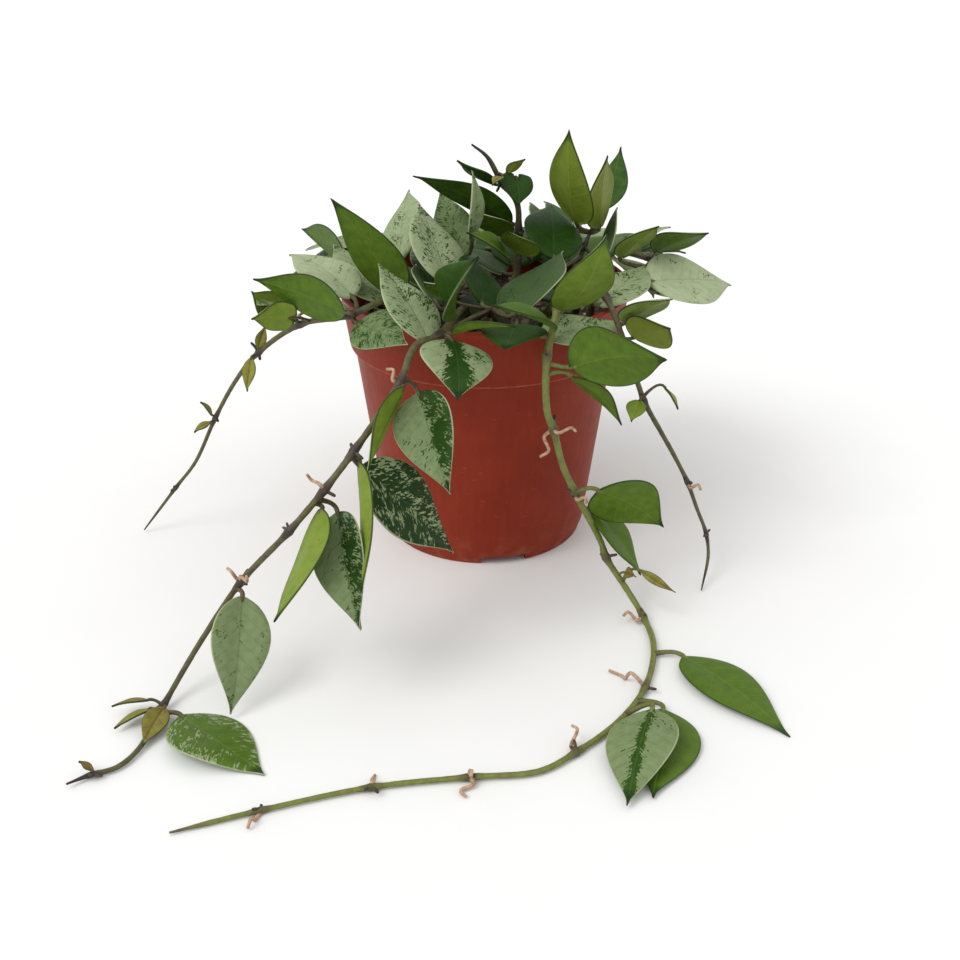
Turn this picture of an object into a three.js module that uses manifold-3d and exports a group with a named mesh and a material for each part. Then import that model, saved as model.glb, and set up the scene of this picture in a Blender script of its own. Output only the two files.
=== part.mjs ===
// A potted trailing hoya: four vines that hang over the rim of a nursery pot, the two long ones ending on the
// surface that it stands on, shorter shoots that fill the crown, and waxy leaves on petioles along them all.
// Millimetres, +Z up. The origin is the middle of the pot's base, on the surface. The front is -Y.

import * as THREE from "three";
import Module from "manifold-3d";
import { mergeVertices } from "three/addons/utils/BufferGeometryUtils.js";

const wasm = await Module();
wasm.setup();

const GAP = 0.3; // between pieces that touch

// Pot: a thin tapered wall with a wider collar, on a notched foot ring with a flat pad in the middle.
const RIM_RADIUS = 60;
const RIM_HEIGHT = 110;
const COLLAR_LOW_RADIUS = 56.1;
const COLLAR_LOW = 86;
const WALL_TOP_RADIUS = 54.2;
const WALL_LOW_RADIUS = 43.6;
const FOOT_RADIUS = 42.2;
const FOOT_WIDTH = 3.2;
const FOOT_HEIGHT = 3;
const WALL = 1.4;
const FLOOR_BEND = 2; // the bevel between the floor and the wall
const PAD_RADIUS = 9;
const POT_SIDES = 36;
const NOTCH_WIDTH = 19;
const NOTCHES = 4;
const FIRST_NOTCH = -79; // degrees from +X
const DRAIN_HOLES = 8;
const DRAIN_RADIUS = 2.5;
const DRAIN_CIRCLE = 28;
const DRAIN_SIDES = 12;

// Soil: fills the pot to below the rim, and is cut where the stems are planted.
const SOIL_TOP = 97;
const SOIL_MOUND = 2;
const SOIL_CROWN_RADIUS = 28; // of the nearly level middle
const SOIL_SIDE_GAP = 0.7; // to the pot's wall
const SOIL_SIDES = 24;
const PLANTING_DEPTH = 12;
const PLANTING_ROOM = 0.95;
const PLANTING_SIDES = 10;

// Leaf blade: its widest point is nearer the base, and it narrows to a drawn-out tip.
const LEAF_THICKNESS = 0.9;
const LEAF_ACROSS = 2;
const LEAF_ALONG = 6;
const LEAF_WIDEST = 0.7; // below 1 moves the widest point towards the base
const LEAF_FULLNESS = 0.8; // below 1 rounds the outline near the base
const LEAF_TAPER = 0.8; // a larger one draws the tip out
const LEAF_BASE_HALF = 0.8;
const LEAF_TIP_HALF = 0.35;
const LEAF_TIP_THINNING = 0.6; // the share of the thickness that is lost from base to tip

// Stems, petioles and aerial roots.
const PETIOLE_RADIUS = 0.75;
const PETIOLE_FOOT = 1.15; // its radius at the stem, as a multiple
const PETIOLE_BEND = 0.45; // how far back from the blade it turns, as a share of its length
const ROOT_RADIUS = 0.55;
const ROOT_TIP = 0.7; // its radius at the end, as a multiple
const STEM_SIDES = 6;
const THIN_SIDES = 4; // of a petiole or an aerial root
const STEM_STEP = 10;
const STEM_PLACES = 120; // where a petiole can start
const NODE_SWELLING = 1.5; // of the stem's radius
const JOIN_DEPTH = 1.2; // how far a blade that is one body with its stem reaches back into the petiole

const POT_COLOUR = 0xa0432c;
const SOIL_COLOUR = 0x3b2a1e;
const STEM_COLOUR = 0x5e5a2c;
const SILVER = 0xa3b392;
const GREEN = 0x5d7f2a;
const DARK = 0x2b4d1e;

// Each stem: its radius at the root and at the tip, its route from the soil, the places on the route where
// leaves or roots grow and it swells, and its aerial roots, each as a place on the route and the root's end.
const STEMS = {
  vine_far_left: {
    radii: [1.5, 0.6],
    route: [
      [-20, -20, 85], [-20, -20, 101], [-26, -33, 114], [-35, -43, 118], [-51, -49, 113], [-72, -35, 104],
      [-91, -24, 88], [-103, -15, 72], [-114, -11, 53], [-124, -12, 33], [-134, -11, 20], [-149, -15, 1.2],
    ],
    nodes: [3, 4, 5, 6, 8, 10],
    roots: [[4, [-53, -53, 119]], [5, [-70, -38, 110]]],
  },
  vine_left: {
    radii: [1.5, 0.85],
    route: [
      [-6, -30, 85], [-6, -30, 101], [-8, -42, 113], [-17, -66, 111], [-25, -76, 111], [-30, -88, 102],
      [-37, -96, 93], [-46, -106, 83], [-56, -114, 72], [-69, -117, 57], [-87, -120, 38], [-100, -125, 20],
      [-107, -131, 10], [-113, -144, 2.6], [-117, -169, 1.6], [-122, -178, 1.5], [-130, -182, 1.5],
      [-136, -187, 2],
    ],
    nodes: [3, 5, 7, 8, 9, 10, 13, 16],
    roots: [[5, [-35, -86, 106]], [8, [-62, -112, 77]], [10, [-92, -117, 42]], [10, [-84, -124, 43]]],
  },
  vine_right: {
    radii: [1.5, 0.8],
    route: [
      [22, -34, 85], [22, -34, 101], [25, -44, 114], [27, -57, 118], [23, -70, 105], [23.5, -72, 83],
      [26, -71, 75.5], [30, -71, 60], [35, -72, 49], [46, -70, 26], [48, -71, 20], [57, -77, 7.5],
      [62, -87, 2.4], [64, -106, 1.8], [58, -133, 1.8], [46, -154, 1.7], [31, -170, 1.7], [18, -180, 1.6],
      [-5, -183, 1.6], [-37, -188, 1.5], [-71, -199, 1.4], [-98, -209, 1],
    ],
    nodes: [3, 4, 6, 8, 10, 12, 14, 16, 18, 19, 20],
    roots: [
      [6, [21, -75, 66]], [6, [34, -76, 77]], [8, [39, -77, 47]], [12, [54, -89, 4]],
      [14, [46, -121, 0.8]], [16, [30, -160, 5]], [18, [-4, -186, 7]], [18, [-6, -192, 1]],
      [19, [-36, -181, 1]], [20, [-74, -207, 1]],
    ],
  },
  vine_far_right: {
    radii: [1.4, 0.6],
    route: [
      [36, -20, 85], [36, -20, 101], [41, -32, 117], [46, -45, 119], [58, -59, 90], [61, -59, 82],
      [69, -56, 67], [75, -54, 56], [81, -53, 44], [86, -51, 31], [91, -49, 18], [92, -52, 10],
      [88, -65, 1],
    ],
    nodes: [3, 5, 8, 10],
    roots: [[8, [86, -56, 42]]],
  },
  shoot_upright: {
    radii: [1.8, 0.9],
    route: [
      [12, 4, 85], [12, 4, 101], [14, 5, 116], [14, 5, 129], [13, 4, 142], [7, 3, 150], [1, 1, 161],
      [-5, 0, 166],
    ],
    nodes: [3, 5],
    roots: [],
  },
  shoot_left: {
    radii: [1.5, 1.1],
    route: [[-12, -12, 85], [-12, -12, 101], [-11, -10, 112], [-10, -8, 120]],
    nodes: [2, 3],
    roots: [],
  },
  shoot_front: {
    radii: [1.5, 1.1],
    route: [[4, -22, 85], [4, -22, 101], [2, -34, 108], [3, -45, 114]],
    nodes: [2],
    roots: [],
  },
  shoot_back_right: {
    radii: [1.6, 1.1],
    route: [[34, 10, 85], [34, 10, 101], [39, 11, 114], [42, 12, 122], [44, 15, 126]],
    nodes: [3, 4],
    roots: [],
  },
  shoot_right: {
    radii: [1.6, 1.1],
    route: [[44, -6, 85], [44, -6, 101], [50, -13, 112], [57, -18, 117], [64, -12, 119], [68, 0, 119]],
    nodes: [3, 5],
    roots: [],
  },
  leafy_shoot_back_left: {
    radii: [1.5, 0.9],
    route: [[-26, 22, 85], [-26, 22, 101], [-32, 34, 112], [-42, 52, 112], [-49, 64, 103]],
    nodes: [2, 3],
    roots: [],
  },
  leafy_shoot_back: {
    radii: [1.5, 0.9],
    route: [[2, 32, 85], [2, 32, 101], [4, 44, 112], [5, 60, 113], [4, 73, 101]],
    nodes: [2, 3],
    roots: [],
  },
  leafy_shoot_back_right: {
    radii: [1.5, 0.9],
    route: [[32, 30, 85], [32, 30, 101], [39, 40, 112], [50, 52, 111], [57, 61, 102]],
    nodes: [2, 3],
    roots: [],
  },
};

// Leaves by stem. Each: name, base of the blade, [heading, rise and roll in degrees], [length, width],
// [fold of each half in degrees, bow of the midrib], and colour. A leaf without a name is a small or hidden
// one, and is one body with its stem. Heading 0 is +X and 90 is +Y. Roll leans the upper face to the left.
const LEAVES = {
  vine_far_left: [
    ["leaf_olive_tall", [-33, -31, 114], [-157, 59, -37], [50, 25], [8, 0.5], GREEN],
    ["leaf_silver_back_left", [-35, -34, 112], [129, 19, -8], [44, 32], [8, 1], SILVER],
    ["leaf_silver_pale", [-50, -45, 119], [132, 10, 0], [42, 24], [8, 3], SILVER],
    ["leaf_olive_low", [-51, -57, 117], [158, 12, -72], [40, 21], [8, 0.5], GREEN],
    ["leaf_over_rim_left", [-48, -54, 112], [-50, 1, -32], [32, 20], [8, 1], GREEN],
    ["leaf_heart_left", [-75, -46, 111], [-151, 8, -67], [15, 15], [6, 1], GREEN],
    [null, [-79, -41, 111], [-150, 44, -110], [15, 13], [6, 1], GREEN],
    [null, [-81, -40, 115], [-114, 13, 14], [12, 9], [10, 0.5], GREEN],
    [null, [-91, -25, 90], [50, 60, -60], [10, 5], [20, 0.5], GREEN],
    [null, [-94, -25, 86], [-120, -70, 20], [14, 6], [20, 0.5], GREEN],
    [null, [-115, -12, 55], [-160, 60, 20], [8, 4], [20, 0.5], GREEN],
    [null, [-116, -13, 52], [-150, -20, 20], [8, 4], [20, 0.5], GREEN],
  ],
  vine_left: [
    ["leaf_silver_front", [-20, -68, 109], [124, 30, -14], [42, 24], [8, 2], SILVER],
    ["leaf_banded_front", [-12, -67, 110], [-85, -22, 14], [31, 28], [8, 2], DARK],
    ["leaf_folded_front", [-11, -56, 115], [-66, 54, -81], [36, 24], [45, 2], DARK],
    ["leaf_left_edge", [-29, -90, 101], [-116, -36, -83], [35, 15], [15, 1], GREEN],
    ["leaf_left_folded", [-24, -85, 97], [-70, -37, -38], [42, 27], [30, 1], DARK],
    ["leaf_left_marbled", [-44, -104, 76], [10, -49, -34], [51, 31], [8, 2], DARK],
    ["leaf_left_narrow", [-44, -106, 79], [-85, -36, 110], [50, 15], [20, 1], GREEN],
    ["leaf_left_hanging", [-57, -115, 65], [-108, -28, 142], [47, 19], [15, 1], GREEN],
    ["leaf_left_two_tone", [-52, -113, 63], [-75, -35, -40], [46, 25], [28, 1], DARK],
    ["leaf_left_silver", [-86, -124, 35], [-94, -50, 30], [42, 23], [18, 1], SILVER],
    ["leaf_left_ground", [-106, -151, 3], [-41, -3, 12], [45, 29], [4, 1], DARK],
    [null, [-6, -32, 104], [80, 10, 0], [24, 16], [10, 2], DARK],
    [null, [-112, -148, 4], [-100, -4, 20], [20, 9], [15, 0.5], GREEN],
    [null, [-117, -149, 4], [-140, -6, -20], [14, 6], [15, 0.5], GREEN],
    [null, [-118, -145, 5], [-165, 0, -20], [13, 5], [15, 0.5], GREEN],
    [null, [-129, -181, 3], [150, 15, 0], [6, 3], [15, 0.3], GREEN],
  ],
  vine_right: [
    ["leaf_olive_round", [29, -60, 119], [-62, 54, 13], [45, 22], [8, -3], GREEN],
    ["leaf_silver_low_right", [22, -61, 109], [28, 0, -9], [36, 25], [6, 0.5], SILVER],
    ["leaf_folded_right", [26, -66, 114], [-142, 28, 13], [34, 14], [30, 1], GREEN],
    ["leaf_green_right", [32, -74, 102], [-43, 19, 61], [45, 30], [8, 3], GREEN],
    ["leaf_green_right_low", [32, -70, 97], [5, -45, 33], [29, 15], [12, 2], GREEN],
    ["leaf_right_heart", [43, -77, 53], [22, -36, 59], [37, 29], [6, 2], GREEN],
    ["leaf_right_behind", [42, -63, 37], [-28, -46, 8], [33, 21], [12, 2], GREEN],
    ["leaf_right_ground", [74, -114, 2.5], [-57, -1, 0], [56, 22], [4, 1.5], GREEN],
    ["leaf_ground_silver", [58, -154, 8], [-106, -7, -12], [46, 25], [6, 2], SILVER],
    ["leaf_ground_green", [63, -146, 2], [-101, 0, 0], [48, 26], [2, 1], GREEN],
    [null, [61, -80, 19], [-30, -20, -60], [16, 4], [15, 1], GREEN],
    [null, [55, -78, 17], [-70, 20, -60], [10, 5], [15, 1], GREEN],
  ],
  vine_far_right: [
    ["leaf_green_rim_right", [54, -51, 111], [-56, 35, 13], [30, 19], [10, 1], GREEN],
    ["leaf_yellow_round", [57, -52, 105], [-54, 28, 47], [22, 21], [6, 1], GREEN],
    ["leaf_silver_right", [44, -36, 112], [49, 15, 2], [35, 25], [8, 1], SILVER],
    [null, [59, -63, 84], [-118, -35, 10], [10, 8], [12, 0.5], GREEN],
    [null, [69, -58, 87], [-50, -40, 40], [10, 9], [12, 0.5], GREEN],
  ],
  shoot_upright: [
    ["leaf_dark_long", [11, 8, 132], [-154, 30, -33], [50, 20], [10, 2], DARK],
    ["leaf_dark_curled", [4, 5, 149], [-148, 36, -17], [21, 11], [20, -1], DARK],
    ["leaf_dark_heart", [13, 2, 152], [-85, -50, 16], [12, 14], [6, 1], DARK],
    [null, [9, 3, 154], [-20, 40, 30], [10, 7], [12, 0.5], GREEN],
    [null, [17, -20, 127], [-121, 41, -1], [22, 17], [8, 1], GREEN],
    [null, [7, -3, 154], [-120, -10, 0], [8, 5], [20, 0.5], GREEN],
    [null, [8, 0, 129], [-130, 36, -11], [26, 18], [8, 1], GREEN],
    [null, [26, 12, 126], [106, 20, -33], [24, 14], [8, 1], DARK],
    [null, [13, 9, 113], [85, 16, 0], [32, 24], [10, 2], DARK],
    [null, [8, 4, 112], [140, 10, -10], [30, 22], [10, 2], DARK],
    [null, [18, -8, 106], [-60, 10, 0], [26, 20], [10, 2], DARK],
  ],
  shoot_left: [
    ["leaf_silver_upright", [-34, -13, 123], [86, 32, 44], [38, 26], [8, 1], SILVER],
    ["leaf_silver_speckled", [-14, -37, 121], [110, 33, -24], [42, 26], [8, 2], SILVER],
    ["leaf_silver_middle", [-8, -9, 122], [112, 36, 22], [36, 18], [8, 1], GREEN],
    ["leaf_silver_narrow", [-5, -21, 133], [-85, 71, 127], [32, 11], [15, 1], SILVER],
    [null, [-15, -30, 118], [114, 20, -60], [47, 15], [10, 1], DARK],
    [null, [-19, -44, 117], [107, 14, -35], [28, 18], [8, 1], DARK],
    [null, [-23, -35, 119], [113, 4, -19], [26, 18], [8, 1], DARK],
    [null, [-14, -4, 110], [120, 18, 0], [34, 24], [10, 2], DARK],
    [null, [-20, -11, 107], [165, 12, 0], [34, 24], [10, 2], DARK],
    ["leaf_olive_behind", [-56, 4, 119], [130, 8, -66], [34, 22], [8, 1], GREEN],
  ],
  shoot_front: [
    ["leaf_dark_silver", [11, -53, 115], [60, 19, 22], [42, 31], [10, 1], DARK],
    [null, [10, -23, 126], [-142, 37, 28], [26, 14], [25, 1], GREEN],
    [null, [-12, -66, 112], [-35, 18, 28], [30, 10], [25, 1], GREEN],
    [null, [12, -56, 112], [-100, 2, 0], [28, 26], [8, 1], DARK],
    [null, [-15, -48, 120], [-132, 38, -12], [14, 12], [8, 1], GREEN],
    ["leaf_dark_front", [-1, -45, 116], [98, 20, -45], [32, 28], [12, 1], DARK],
  ],
  shoot_back_right: [
    ["leaf_green_tallest", [38, 13, 131], [-102, 62, 35], [50, 25], [8, -3], GREEN],
    ["leaf_green_second", [48, 18, 127], [-89, 65, -50], [38, 20], [10, 1], GREEN],
    [null, [49, 24, 132], [70, 35, -171], [36, 15], [10, 1], DARK],
    [null, [34, 18, 128], [113, 15, -19], [22, 12], [8, 1], DARK],
    [null, [50, 0, 121], [77, 29, 55], [28, 12], [10, 1], DARK],
    [null, [31, 15, 111], [100, 14, 0], [32, 24], [10, 2], GREEN],
    [null, [38, 12, 112], [45, 12, 0], [34, 24], [10, 2], GREEN],
    ["leaf_dark_crown", [28, -8, 122], [90, 22, -18], [36, 26], [10, 2], DARK],
  ],
  shoot_right: [
    ["leaf_silver_far_right", [65, -24, 118], [35, -12, -29], [48, 30], [8, 1], SILVER],
    ["leaf_green_edge_right", [55, -6, 122], [-59, 40, 6], [30, 16], [12, 1], GREEN],
    ["leaf_green_far_right", [70, 2, 122], [-55, 27, 24], [34, 18], [12, 1], GREEN],
    [null, [59, 4, 124], [50, 2, 13], [32, 12], [12, 1], SILVER],
    [null, [66, -16, 112], [35, -9, -9], [36, 24], [8, 1], SILVER],
    [null, [64, 6, 121], [50, -3, 11], [28, 10], [10, 1], DARK],
  ],
  leafy_shoot_back_left: [
    [null, [-42, 40, 112], [155, -8, 0], [44, 26], [10, 3], SILVER],
    [null, [-36, 48, 112], [95, -16, 0], [44, 26], [10, 3], SILVER],
    [null, [-30, 36, 112], [60, 4, 10], [32, 22], [10, 2], GREEN],
    [null, [-44, 58, 106], [70, -38, 0], [40, 24], [10, 3], GREEN],
    [null, [-50, 66, 102], [130, -35, 0], [46, 26], [10, 3], GREEN],
    [null, [-52, 52, 108], [178, -22, 0], [42, 24], [10, 3], DARK],
    [null, [-46, 14, 109], [170, -6, 0], [36, 24], [10, 3], SILVER],
    [null, [-44, 28, 112], [160, -14, 0], [38, 24], [10, 3], GREEN],
    [null, [-51, 2, 111], [-170, -16, 0], [32, 22], [10, 3], GREEN],
  ],
  leafy_shoot_back: [
    [null, [-3, 50, 112], [113, -14, 0], [42, 26], [10, 3], GREEN],
    [null, [12, 52, 113], [70, -14, 0], [42, 26], [10, 3], SILVER],
    [null, [2, 38, 112], [150, -2, 10], [30, 20], [10, 2], DARK],
    [null, [7, 39, 110], [25, 10, -10], [32, 22], [10, 2], DARK],
    [null, [4, 76, 99], [90, -55, 0], [48, 28], [10, 3], SILVER],
    [null, [-3, 68, 106], [140, -32, 0], [44, 25], [10, 3], DARK],
    [null, [12, 68, 106], [40, -28, 0], [44, 25], [10, 3], GREEN],
  ],
  leafy_shoot_back_right: [
    [null, [48, 40, 112], [8, -6, 0], [42, 26], [10, 3], GREEN],
    [null, [45, 52, 112], [84, -14, 0], [44, 26], [10, 3], SILVER],
    [null, [38, 40, 118], [119, 6, 0], [32, 22], [10, 2], DARK],
    [null, [59, 64, 100], [50, -38, 0], [46, 26], [10, 3], SILVER],
    [null, [58, 50, 108], [-2, -22, 0], [42, 24], [10, 3], DARK],
  ],
};

const radians = THREE.MathUtils.degToRad;
const point = ([x, y, z]) => new THREE.Vector3(x, y, z);

// A closed geometry as a solid that can be joined and cut, and back.
function solid(geometry) {
  const bare = geometry.clone();
  bare.deleteAttribute("normal");
  bare.deleteAttribute("uv");
  const merged = mergeVertices(bare, 1e-4);
  const vertProperties = Float32Array.from(merged.attributes.position.array);
  const triVerts = Uint32Array.from(merged.index.array);
  return new wasm.Manifold(new wasm.Mesh({ numProp: 3, vertProperties, triVerts }));
}

function geometryOf(shape) {
  const mesh = shape.getMesh();
  const geometry = new THREE.BufferGeometry();
  geometry.setAttribute("position", new THREE.BufferAttribute(mesh.vertProperties, 3));
  geometry.setIndex(new THREE.BufferAttribute(mesh.triVerts, 1));
  geometry.computeVertexNormals();
  return geometry;
}

// One body. Where a petiole meets a blade the union can leave a closed bubble of no size, which is dropped.
function join(geometries) {
  const whole = geometries.map(solid).reduce((sum, piece) => sum.add(piece));
  return whole.decompose().reduce((largest, part) => (part.volume() > largest.volume() ? part : largest));
}

// A lathe's profile runs from the axis, under the piece, up its outside and back to the axis.
function lathe(profile, sides) {
  const points = profile.map(([radius, height]) => new THREE.Vector2(radius, height));
  return new THREE.LatheGeometry(points, sides).rotateX(Math.PI / 2);
}

function upright(geometry, x, y, z) {
  return geometry.rotateX(Math.PI / 2).translate(x, y, z);
}

function potBody() {
  const floorTop = FOOT_HEIGHT + WALL;
  const shell = solid(lathe([
    [0, 0],
    [PAD_RADIUS, 0],
    [PAD_RADIUS + 1, FOOT_HEIGHT],
    [FOOT_RADIUS - FOOT_WIDTH, FOOT_HEIGHT],
    [FOOT_RADIUS - FOOT_WIDTH + 0.5, 0],
    [FOOT_RADIUS, 0],
    [WALL_LOW_RADIUS, FOOT_HEIGHT + FLOOR_BEND],
    [WALL_TOP_RADIUS, COLLAR_LOW - 1],
    [COLLAR_LOW_RADIUS, COLLAR_LOW],
    [RIM_RADIUS - 0.3, RIM_HEIGHT - 1.5],
    [RIM_RADIUS, RIM_HEIGHT - 1],
    [RIM_RADIUS - 0.5, RIM_HEIGHT],
    [RIM_RADIUS - 0.3 - WALL, RIM_HEIGHT],
    [COLLAR_LOW_RADIUS - WALL, COLLAR_LOW + 1],
    [WALL_TOP_RADIUS - WALL, COLLAR_LOW - 1],
    [WALL_LOW_RADIUS - WALL, floorTop + FLOOR_BEND],
    [WALL_LOW_RADIUS - WALL - FLOOR_BEND, floorTop],
    [0, floorTop],
  ], POT_SIDES));
  const cutters = [];
  for (let i = 0; i < NOTCHES; i += 1) {
    const notch = new THREE.BoxGeometry(FOOT_WIDTH * 3, NOTCH_WIDTH, FOOT_HEIGHT * 2);
    notch.translate(FOOT_RADIUS, 0, 0);
    cutters.push(notch.rotateZ(radians(FIRST_NOTCH + (360 / NOTCHES) * i)));
  }
  for (let i = 0; i < DRAIN_HOLES; i += 1) {
    const angle = (2 * Math.PI * i) / DRAIN_HOLES;
    const hole = new THREE.CylinderGeometry(DRAIN_RADIUS, DRAIN_RADIUS, floorTop * 2, DRAIN_SIDES);
    cutters.push(upright(hole, DRAIN_CIRCLE * Math.cos(angle), DRAIN_CIRCLE * Math.sin(angle), floorTop));
  }
  return cutters.reduce((pot, cutter) => pot.subtract(solid(cutter)), shell);
}

// The planted ends of the stems stand straight up in holes of their own.
function soilBody() {
  const floor = FOOT_HEIGHT + WALL + GAP;
  const side = WALL + SOIL_SIDE_GAP;
  const full = solid(lathe([
    [0, floor],
    [WALL_LOW_RADIUS - side - FLOOR_BEND, floor],
    [WALL_LOW_RADIUS - side, floor + FLOOR_BEND + 0.5],
    [WALL_TOP_RADIUS - side, COLLAR_LOW - 1],
    [COLLAR_LOW_RADIUS - side, COLLAR_LOW + 1.5],
    [COLLAR_LOW_RADIUS - side + 0.8, SOIL_TOP - SOIL_MOUND - 1],
    [COLLAR_LOW_RADIUS - side - 8, SOIL_TOP - SOIL_MOUND],
    [SOIL_CROWN_RADIUS, SOIL_TOP - 0.4],
    [0, SOIL_TOP],
  ], SOIL_SIDES));
  return Object.values(STEMS).reduce((soil, stem) => {
    const [x, y] = stem.route[0];
    const radius = stem.radii[0] + PLANTING_ROOM;
    const hole = new THREE.CylinderGeometry(radius, radius, PLANTING_DEPTH * 2, PLANTING_SIDES);
    return soil.subtract(solid(upright(hole, x, y, SOIL_TOP)));
  }, full);
}

// A round tube along a curve that thins evenly from its start to its end.
function tube(curve, startRadius, endRadius, sides, steps) {
  const section = new THREE.Shape();
  for (let i = 0; i < sides; i += 1) {
    const angle = (2 * Math.PI * i) / sides;
    section[i ? "lineTo" : "moveTo"](startRadius * Math.cos(angle), startRadius * Math.sin(angle));
  }
  const geometry = new THREE.ExtrudeGeometry(section, { steps, extrudePath: curve, bevelEnabled: false });
  const centres = curve.getSpacedPoints(steps);
  const position = geometry.attributes.position;
  const vertex = new THREE.Vector3();
  for (let i = 0; i < position.count; i += 1) {
    vertex.fromBufferAttribute(position, i);
    let nearest = 0;
    for (let k = 1; k <= steps; k += 1) {
      if (centres[k].distanceToSquared(vertex) < centres[nearest].distanceToSquared(vertex)) nearest = k;
    }
    const share = THREE.MathUtils.lerp(1, endRadius / startRadius, nearest / steps);
    vertex.sub(centres[nearest]).multiplyScalar(share).add(centres[nearest]);
    position.setXYZ(i, vertex.x, vertex.y, vertex.z);
  }
  return geometry;
}

// The blade's own directions: along its midrib, to its right, and out of its upper face.
function leafFrame([heading, rise, roll]) {
  const [h, r, t] = [heading, rise, roll].map(radians);
  const along = new THREE.Vector3(Math.cos(r) * Math.cos(h), Math.cos(r) * Math.sin(h), Math.sin(r));
  const level = new THREE.Vector3(-Math.sin(r) * Math.cos(h), -Math.sin(r) * Math.sin(h), Math.cos(r));
  const left = new THREE.Vector3().crossVectors(level, along);
  const up = level.multiplyScalar(Math.cos(t)).addScaledVector(left, Math.sin(t));
  const right = new THREE.Vector3().crossVectors(along, up);
  return { along, right, up };
}

// A flat bar is widened to the leaf's outline, folded along its midrib and bowed along its length.
function leafBlade(base, angles, [length, width], [fold, bow], reach) {
  const { along, right, up } = leafFrame(angles);
  const start = point(base).addScaledVector(along, -reach);
  const geometry = new THREE.BoxGeometry(2, 1, LEAF_THICKNESS, LEAF_ACROSS, LEAF_ALONG, 1);
  const position = geometry.attributes.position;
  for (let i = 0; i < position.count; i += 1) {
    const across = position.getX(i);
    const u = position.getY(i) + 0.5;
    const thin = 1 - LEAF_TIP_THINNING * u;
    const outline = (width / 2) * Math.sin(Math.PI * u ** LEAF_WIDEST) ** (LEAF_FULLNESS + LEAF_TAPER * u);
    const half = Math.max(outline || 0, THREE.MathUtils.lerp(LEAF_BASE_HALF, LEAF_TIP_HALF, u));
    const lift = Math.abs(across) * half * Math.sin(radians(fold)) + bow * 4 * u * (1 - u);
    const vertex = start.clone()
      .addScaledVector(along, u * (length + reach))
      .addScaledVector(right, across * half * Math.cos(radians(fold)))
      .addScaledVector(up, lift + position.getZ(i) * thin);
    position.setXYZ(i, vertex.x, vertex.y, vertex.z);
  }
  return geometry;
}

// A petiole leaves the nearest point of its stem and turns into the line of the blade's midrib.
function petiole(stemCurve, base, angles) {
  const { along } = leafFrame(angles);
  const end = point(base).addScaledVector(along, -GAP);
  const places = stemCurve.getSpacedPoints(STEM_PLACES);
  const start = places.reduce((best, p) => (p.distanceTo(end) < best.distanceTo(end) ? p : best));
  const bend = end.clone().addScaledVector(along, -PETIOLE_BEND * start.distanceTo(end));
  const curve = new THREE.QuadraticBezierCurve3(start, bend, end);
  return tube(curve, PETIOLE_RADIUS * PETIOLE_FOOT, PETIOLE_RADIUS, THIN_SIDES, 2);
}

function stemBody(stem, leaves) {
  const [rootRadius, tipRadius] = stem.radii;
  const route = stem.route.map(point);
  const curve = new THREE.CatmullRomCurve3(route, false, "centripetal");
  const steps = Math.ceil(curve.getLength() / STEM_STEP);
  const pieces = [tube(curve, rootRadius, tipRadius, STEM_SIDES, steps)];
  for (const place of stem.nodes) {
    const { x, y, z } = route[place];
    const share = place / (route.length - 1);
    const radius = THREE.MathUtils.lerp(rootRadius, tipRadius, share) * NODE_SWELLING;
    const low = Math.min(radius, Math.max(z, tipRadius)); // stays above the surface
    pieces.push(new THREE.SphereGeometry(1, 4, 2).scale(radius, radius, low).translate(x, y, z));
  }
  for (const [place, end] of stem.roots) {
    const middle = route[place].clone().lerp(point(end), 0.5).add(new THREE.Vector3(0, 0, 1));
    const bend = new THREE.QuadraticBezierCurve3(route[place], middle, point(end));
    pieces.push(tube(bend, ROOT_RADIUS, ROOT_RADIUS * ROOT_TIP, THIN_SIDES, 1));
  }
  for (const [name, base, angles, size, shape] of leaves) {
    pieces.push(petiole(curve, base, angles));
    if (name === null) pieces.push(leafBlade(base, angles, size, shape, JOIN_DEPTH));
  }
  return join(pieces);
}

function piece(name, geometry, colour, roughness) {
  const material = new THREE.MeshStandardMaterial({ color: colour, roughness, metalness: 0 });
  const mesh = new THREE.Mesh(geometry, material);
  mesh.name = name;
  return mesh;
}

const group = new THREE.Group();
group.add(piece("pot", geometryOf(potBody()), POT_COLOUR, 0.55));
group.add(piece("soil", geometryOf(soilBody()), SOIL_COLOUR, 0.95));
for (const [stemName, stem] of Object.entries(STEMS)) {
  const leaves = LEAVES[stemName];
  group.add(piece(stemName, geometryOf(stemBody(stem, leaves)), STEM_COLOUR, 0.6));
  for (const [name, base, angles, size, shape, colour] of leaves) {
    if (name !== null) group.add(piece(name, leafBlade(base, angles, size, shape, 0), colour, 0.5));
  }
}

export default group;
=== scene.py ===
import math
import random

import bmesh
import bpy
from mathutils import Matrix, Vector, noise


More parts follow.
